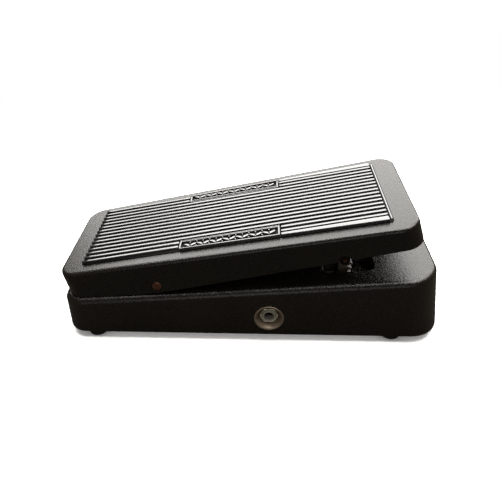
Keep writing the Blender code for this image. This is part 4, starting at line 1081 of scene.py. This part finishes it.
def make_power_jack():
    face = 1.7
    piece("power_jack_hex", hex_nut(11.08, 0.35, 1.6, 4.2), nickel, "base", "nickel",
          POWER_FRAME, replaces="power_jack_nut", angle=30.0)
    socket = raw_object("power_jack_socket", lathe(
        [(0.0, face), (3.55, face), (3.95, 1.3), (3.95, -3.4), (6.2, -3.4),
         (6.2, -14.5), (0.0, -14.5)], 48), POWER_FRAME)
    carve(socket, [cut(flared(circle(3.1), -11.0, 4.0, mouth=face, radius=0.3, seg=3),
                       POWER_FRAME)])
    dress(socket, black_plastic, "base", "black_plastic", "power_jack_body")
    piece("power_jack_pin", lathe([(0.0, -2.0), (0.5, -2.05), (0.85, -2.3),
                                   (1.0, -2.8), (1.0, -11.0), (0.0, -11.0)], 32),
          nickel, "base", "nickel", POWER_FRAME)


make_jack("input_jack", NEAR_JACK_FRAME)
make_jack("output_jack", FAR_JACK_FRAME)
make_power_jack()


# ========================================================= bottom plate and feet
def make_bottom_plate():
    corners = inset(HEEL_X, TOE_X, HEEL_HALF, TOE_HALF, *[PLATE_INSET] * 3)
    plate = raw_object("bottom_cover", slab(
        rounded(corners, base_radii(PLATE_INSET), 16), PLATE_Z0, PLATE_Z1))
    steps = [cut(rod((x, y, 5.0), (x, y, 9.0), 2.0, 32)) for _, x, y in FEET]
    # two shallow lengthwise channels in the underside
    half_x, half_y = 70, 2.2
    for mid in (-22.0, 22.0):
        outline = rounded([(-half_x, mid - half_y), (half_x, mid - half_y),
                           (half_x, mid + half_y), (-half_x, mid + half_y)],
                          [2.15] * 4, 8)
        steps.append(cut(loft([[(x, y, 5.0) for x, y in outline],
                               [(x, y, PLATE_Z0) for x, y in outline],
                               [(x * 0.99, mid + (y - mid) * 0.5, 6.75)
                                for x, y in outline]])))
    carve(plate, steps)
    soften(plate, 0.25, 2, 30.0)
    dress(plate, sheet_steel, "base", "plate_steel", "bottom_plate", 30.0)


def make_foot(tag, x, y):
    """Rubber foot and the cross-slotted screw in its recess."""
    place = Matrix.Translation((x, y, 0))
    profile = ([(6.45, 5.7), (6.6, 5.5)]
               + arc(5.55, 1.05, 1.05, 5, -90, 8)
               + [(4.2, 0.0)] + arc(4.2, 0.3, 0.3, -90, -180, 3)
               + [(3.9, 3.2), (1.9, 3.2), (1.9, 5.7)])
    piece("rubber_foot_" + tag, lathe(profile), foot_rubber, "base", "rubber", place,
          replaces="foot_" + tag, angle=40.0)
    screw = raw_object("foot_fastener_" + tag, lathe(
        [(0.0, 1.2), (1.6, 1.22), (2.6, 1.45), (3.15, 1.95), (3.3, 2.5),
         (3.3, 3.0), (1.5, 3.0), (1.5, 17.0), (1.0, 17.5), (0.0, 17.5)], 48), place)
    carve(screw, [cut(box((-2.1, -0.35, 0.5), (2.1, 0.35, 2.2)), place),
                  cut(box((-0.35, -2.1, 0.5), (0.35, 2.1, 2.2)), place)])
    soften(screw, 0.07, 1)
    dress(screw, zinc, "base", "screw_steel", "foot_screw_" + tag)


make_bottom_plate()
for tag, x, y in FEET:
    make_foot(tag, x, y)


# ==================================================================== footswitch
def knurled_ring():
    """Ring about z with a notch in its outer face at every third point."""
    points, notch = 120, 0.32
    # radius, z, notch depth: down the outer side, then up the bore
    stations = ((8.0, 3.0, 0.0), (8.3, 2.85, 0.0), (8.6, 2.5, notch), (8.6, 0.8, notch),
                (8.35, 0.45, 0.0), (8.1, 0.3, 0.0),
                (6.1, 0.3, 0.0), (6.1, 2.7, 0.0), (6.4, 3.0, 0.0))
    shell = bmesh.new()
    rings = []
    for radius, z, depth in stations:
        ring = []
        for i in range(points):
            reach = radius - (depth if i % 3 == 0 else 0.0)
            angle = math.tau * i / points
            ring.append(shell.verts.new((reach * math.cos(angle),
                                         reach * math.sin(angle), z)))
        rings.append(ring)
    for first, second in zip(rings, rings[1:] + rings[:1]):
        bridge(shell, first, second)
    bmesh.ops.recalc_face_normals(shell, faces=shell.faces)
    return shell


def make_switch():
    piece("switch_cap", lathe(
        [(0.0, PLUNGER_H), (1.0, PLUNGER_H - 0.03), (2.0, PLUNGER_H - 0.12)]
        + arc(2.6, PLUNGER_H - 1.5, 1.4, 78, 0, 8)
        + [(4.0, -4.9), (3.7, -5.2), (0.0, -5.2)]), nickel, "plunger", "nickel",
        SWITCH_FRAME, replaces="footswitch_plunger")
    piece("switch_ring", knurled_ring(), nickel, "base", "nickel", SWITCH_FRAME,
          replaces="footswitch_dress_nut", angle=25.0)
    body = raw_object("switch_body", lathe(
        [(0.0, 6.2), (5.45, 6.2)]
        + thread(19, 6.0, 0.6, ((5.9, 0.15), (5.9, 0.25), (5.6, 0.5)))
        + [(5.7, -5.6), (8.3, -5.6), (8.6, -5.9), (8.6, -18.7), (8.3, -19.0),
           (0.0, -19.0)]), SWITCH_FRAME)
    carve(body, [cut(rod((0, 0, -8.6), (0, 0, 8.0), 4.3, 64), SWITCH_FRAME)])
    dress(body, dull_nickel, "base", "dull_nickel", "footswitch_body", 30.0)
    piece("switch_lock_nut", hex_nut(14.9, -5.4, -3.4, 6.15), nickel, "base", "nickel",
          SWITCH_FRAME, replaces="footswitch_lock_nut", angle=30.0)


make_switch()


# ==================================================================== soft stops
def make_toe_stop():
    """Bumper under the treadle, in line with the footswitch."""
    piece("toe_stop", lathe([(0.0, 13.7), (6.9, 13.7), (7.0, 13.6), (7.0, 11.6)]
                            + arc(6.2, 11.5, 0.8, 0, -90, 6)
                            + [(5.0, 10.7), (0.0, 10.7)]), stop_rubber,
          "treadle", "rubber",
          TREADLE_FRAME @ Matrix.Translation((150.3, SWITCH_Y, 0)),
          replaces="toe_bumper", angle=40.0)


def make_heel_stop():
    """Pad on the deck below the treadle's heel boss."""
    x = PIVOT_X + HEEL_BOSS_X * math.cos(TILT) - HEEL_BOSS_Z * math.sin(TILT)
    piece("heel_stop", lathe([(0.0, 4.6), (5.2, 4.6)]
                             + arc(5.4, 3.6, 1.0, 90, 0, 6)
                             + [(6.4, 0.4), (6.3, 0.3), (0.0, 0.3)]), stop_rubber,
          "base", "rubber", deck_frame(x, 0.0), replaces="heel_stop_pad", angle=40.0)


make_toe_stop()
make_heel_stop()


# =============================================================== rack and pinion
def involute(angle):
    return math.tan(angle) - angle


def pinion_outline():
    """Involute teeth as (x, z) points, the first tooth pointing to the heel."""
    base_radius = PINION_R * math.cos(PRESSURE_ANGLE)
    flank = []          # radius, half angle of the tooth there
    for radius in (base_radius + 0.05, 7.9, PINION_R, 8.5, 8.9, PINION_TIP_R):
        pressure = math.acos(base_radius / radius)
        flank.append((radius, math.pi / (2 * PINION_TEETH) - BACKLASH / (2 * PINION_R)
                      + involute(PRESSURE_ANGLE) - involute(pressure)))
    flank.insert(0, (PINION_ROOT_R, flank[0][1] + 0.03))
    points = []
    for i in range(PINION_TEETH):
        middle = math.pi + math.tau * i / PINION_TEETH
        tooth = ([(radius, middle - half) for radius, half in flank]
                 + [(radius, middle + half) for radius, half in reversed(flank)])
        points += [(radius * math.cos(angle), radius * math.sin(angle))
                   for radius, angle in tooth]
    return points


def rack_outline():
    """Straight-sided teeth on the toe side of the bar, as (x, z) points from its pin."""
    teeth, eye_radius = 6, 3.1
    pitch = math.pi * MODULE
    pitch_x = PINION_X - PINION_R - RACK_PIN_X
    tip_x = pitch_x + MODULE * 0.95
    root_x = pitch_x - MODULE * 1.2
    mesh_z = PINION_Z - RACK_PIN_Z
    bottom = mesh_z - 4.3
    half = pitch / 4.0 - BACKLASH / 2.0
    root_half = half + (pitch_x - root_x) * math.tan(PRESSURE_ANGLE)
    tip_half = half - (tip_x - pitch_x) * math.tan(PRESSURE_ANGLE)
    points = [(-eye_radius, bottom), (root_x, bottom)]
    for i in range(teeth):
        middle = mesh_z + (i - 0.5) * pitch
        points += [(root_x, middle - root_half), (tip_x, middle - tip_half),
                   (tip_x, middle + tip_half), (root_x, middle + root_half)]
    points.append((root_x, points[-1][1] + 0.3))
    return points + arc(0.0, 0.0, eye_radius, 0, 180, 20)


def make_pinion():
    gear = raw_object("gear", prism(pinion_outline(), PINION_Y1, PINION_Y0),
                      PINION_FRAME)
    groove = [(5.7, 30.0), (5.7, 26.6), (4.4, 26.6), (4.4, 30.0)]
    carve(gear, [cut(rod((0, PINION_Y0 - 1, 0), (0, PINION_Y1 + 1, 0), 3.3),
                     PINION_FRAME),
                 cut(lathe(groove, 48), SHAFT_FRAME)])
    soften(gear, 0.12, 2, 40.0)
    dress(gear, gear_nylon, "pinion", "nylon", "pinion", 30.0)


def make_shaft():
    """Slotted shaft through the pinion; z runs to the near side."""
    shaft = raw_object("shaft", lathe(
        [(0.0, 28.0), (2.6, 28.0), (3.0, 27.6), (3.0, 9.2), (2.8, 9.0),
         (0.0, 9.0)], 48), SHAFT_FRAME)
    carve(shaft, [cut(box((-0.4, -4.0, 26.4), (0.4, 4.0, 29.0)), SHAFT_FRAME)])
    soften(shaft, 0.08, 1, 40.0)
    dress(shaft, zinc, "pinion", "screw_steel", "pot_shaft")


def make_rack():
    rack = raw_object("rack_bar", prism(rack_outline(), RACK_Y1, RACK_Y0), RACK_FRAME)
    carve(rack, [cut(rod((0, RACK_Y0 - 1, 0), (0, RACK_Y1 + 1, 0), RACK_BORE_R, 32),
                     RACK_FRAME)])
    soften(rack, 0.15)
    dress(rack, gear_nylon, "rack", "nylon", "rack", 30.0)


def make_rack_pin():
    near, far, chamfer = 31.6, 17.0, 0.3
    piece("rack_pivot_pin", lathe(
        [(0.0, near), (RACK_PIN_R - chamfer, near), (RACK_PIN_R, near - chamfer),
         (RACK_PIN_R, far + chamfer), (RACK_PIN_R - chamfer, far), (0.0, far)], 40),
        copper, "treadle", "copper_pin",
        TREADLE_FRAME @ Matrix.Translation((LUG_X, 0, LUG_Z)) @ FACE_NEAR,
        replaces="rack_pin")


make_pinion()
make_shaft()
make_rack()
make_rack_pin()

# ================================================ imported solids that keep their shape
# solid, material, edge bevel in millimetres
PACKED_FINISHES = (
    ("friction_pad", nylon, 0.2), ("friction_screw", zinc, 0.15),
    ("friction_spring", zinc, 0.0), ("rack_guide", nylon, 0.15),
    ("pot_body", dull_nickel, 0.25), ("pot_nut", nickel, 0.2),
    ("pot_bracket", sheet_steel, 0.2), ("bracket_screw_rear", zinc, 0.15),
    ("bracket_screw_front", zinc, 0.15), ("circuit_board", board_green, 0.1),
    ("board_screw_near", zinc, 0.15), ("board_screw_far", zinc, 0.15),
    ("inductor", red_film, 0.2), ("capacitor_a", blue_can, 0.15),
    ("capacitor_b", blue_can, 0.15), ("film_capacitor", red_film, 0.0),
    ("transistor_a", black_plastic, 0.15), ("transistor_b", black_plastic, 0.15),
    ("battery", battery_jacket, 0.0), ("battery_snap", snap_plastic, 0.0),
    ("battery_foam", foam, 0.2), ("wire_input_jack", wire_white, 0.0),
    ("wire_battery", wire_red, 0.0), ("wire_pot", wire_green, 0.0),
    ("wire_footswitch", wire_black, 0.0))


def finish_packed(name, material, width):
    """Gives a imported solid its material, broken edges and weighted normals."""
    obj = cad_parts[name]
    for slot in obj.material_slots:
        slot.material = material
    if not obj.material_slots:
        obj.data.materials.append(material)
    weld = obj.modifiers.new("weld", 'WELD')
    weld.merge_threshold = 1e-6
    if width:
        bevel = obj.modifiers.new("edges", 'BEVEL')
        bevel.width = width * MILLI
        bevel.segments = 2
        bevel.limit_method = 'ANGLE'
        bevel.angle_limit = math.radians(35.0)
    normals = obj.modifiers.new("normals", 'WEIGHTED_NORMAL')
    normals.keep_sharp = False


for name, material, width in PACKED_FINISHES:
    finish_packed(name, material, width)


# ============================================ studio; places and sizes in metres
def floor_material():
    """Pale to the camera and fading to pure white with distance, dark to other rays,
    clear from below and to shadow rays."""
    material = bpy.data.materials.new("floor_pale")
    material.use_nodes = True
    tree = material.node_tree
    tree.nodes.clear()

    def node(kind, inputs=None, **settings):
        return add_node(tree, kind, inputs, **settings).outputs

    pale = node("BsdfDiffuse", {"Color": (1.2, 1.2, 1.2, 1)})[0]
    lift = node("Emission", {"Color": (1.0, 0.99, 0.98, 1), "Strength": 0.03})[0]
    near_floor = node("AddShader", {0: pale, 1: lift})[0]
    dark = node("BsdfDiffuse", {"Color": (0.035, 0.031, 0.026, 1)})[0]
    clear = node("BsdfTransparent")[0]
    ray = node("LightPath")
    facing = node("NewGeometry")
    spot = node("NewGeometry")
    distance = node("VectorMath", {0: spot["Position"]}, operation='LENGTH')["Value"]
    fade = node("MapRange", {"From Min": 0.22, "From Max": 0.60, "Value": distance},
                interpolation_type='SMOOTHSTEP')["Result"]
    glow = node("Emission", {"Color": (1, 1, 1, 1), "Strength": 1.0})[0]
    seen = node("MixShader", {0: fade, 1: near_floor, 2: glow})[0]
    lit = node("MixShader", {0: ray["Is Camera Ray"], 1: dark, 2: seen})[0]
    see_through = node("Math", {0: facing["Backfacing"], 1: ray["Is Shadow Ray"]},
                       operation='MAXIMUM')["Value"]
    surface = node("MixShader", {0: see_through, 1: lit, 2: clear})[0]
    node("OutputMaterial", {0: surface})
    return material


def make_floor():
    shell = bmesh.new()
    bmesh.ops.create_grid(shell, x_segments=1, y_segments=1, size=4.0)
    mesh = bpy.data.meshes.new("floor")
    shell.to_mesh(mesh)
    shell.free()
    floor = bpy.data.objects.new("floor", mesh)
    scene.collection.objects.link(floor)
    floor.location = (0, 0, -0.0001)
    floor.data.materials.append(floor_material())


def make_world():
    """White to the camera, faint warm light to everything else."""
    world = bpy.data.worlds.new("studio")
    scene.world = world
    world.use_nodes = True
    tree = world.node_tree
    tree.nodes.clear()
    ambient = add_node(tree, "Background", {"Color": (1.0, 0.98, 0.95, 1),
                                            "Strength": 0.05})
    backdrop = add_node(tree, "Background", {"Color": (1, 1, 1, 1), "Strength": 1.0})
    ray = add_node(tree, "LightPath")
    mixed = add_node(tree, "MixShader", {0: ray.outputs["Is Camera Ray"],
                                         1: ambient.outputs[0],
                                         2: backdrop.outputs[0]})
    add_node(tree, "OutputWorld", {0: mixed.outputs[0]})


def area(name, place, aim, size, radiance, colour=(1, 1, 1), glossy=True):
    """Soft box of the given radiance, hidden from the camera."""
    light = bpy.data.lights.new(name, 'AREA')
    light.shape = 'RECTANGLE'
    light.size, light.size_y = size
    light.energy = radiance * math.pi * size[0] * size[1]
    light.color = colour
    obj = bpy.data.objects.new(name, light)
    scene.collection.objects.link(obj)
    obj.location = place
    obj.rotation_euler = (Vector(aim) - Vector(place)).to_track_quat('-Z', 'Y').to_euler()
    obj.visible_camera = False
    obj.visible_glossy = glossy


def make_camera():
    camera_data = bpy.data.cameras.new("camera")
    camera_data.lens = 35.09
    camera_data.sensor_width = 36.0
    camera_data.clip_start = 0.01
    camera = bpy.data.objects.new("camera", camera_data)
    scene.collection.objects.link(camera)
    right = (0.99943, 0.02642, -0.02091)
    up = (0.00148, 0.58562, 0.81058)
    backward = (0.03366, -0.81015, 0.58525)
    place = Matrix((right, up, backward)).transposed().to_4x4()
    place.translation = Vector((0.01031, -0.28130, 0.24296))
    camera.matrix_world = place
    scene.camera = camera


make_floor()
make_world()
area("overhead", place=(0.05, 0.16, 0.97), aim=(0, 0, 0.06), size=(1.2, 0.7),
     radiance=10.0, colour=(1.0, 0.985, 0.96))
area("back", place=(0.105, 1.0, 0.78), aim=(0, 0, 0.06), size=(2.15, 0.9),
     radiance=5.4, colour=(1.0, 0.985, 0.95))
area("front", place=(-0.1, -1.3, 0.25), aim=(0, 0, 0.03), size=(1.0, 0.3),
     radiance=1.8, colour=(1.0, 0.97, 0.93))
area("front_fill", place=(0, -0.62, 1.0), aim=(0, 0, 0), size=(1.6, 0.6),
     radiance=1.0, colour=(1.0, 0.98, 0.95), glossy=False)
area("under", place=(0, 0.45, -1.15), aim=(0, 0, 0), size=(0.8, 0.8), radiance=7.0)
make_camera()
scene.view_settings.view_transform = 'Standard'
scene.view_settings.look = 'None'
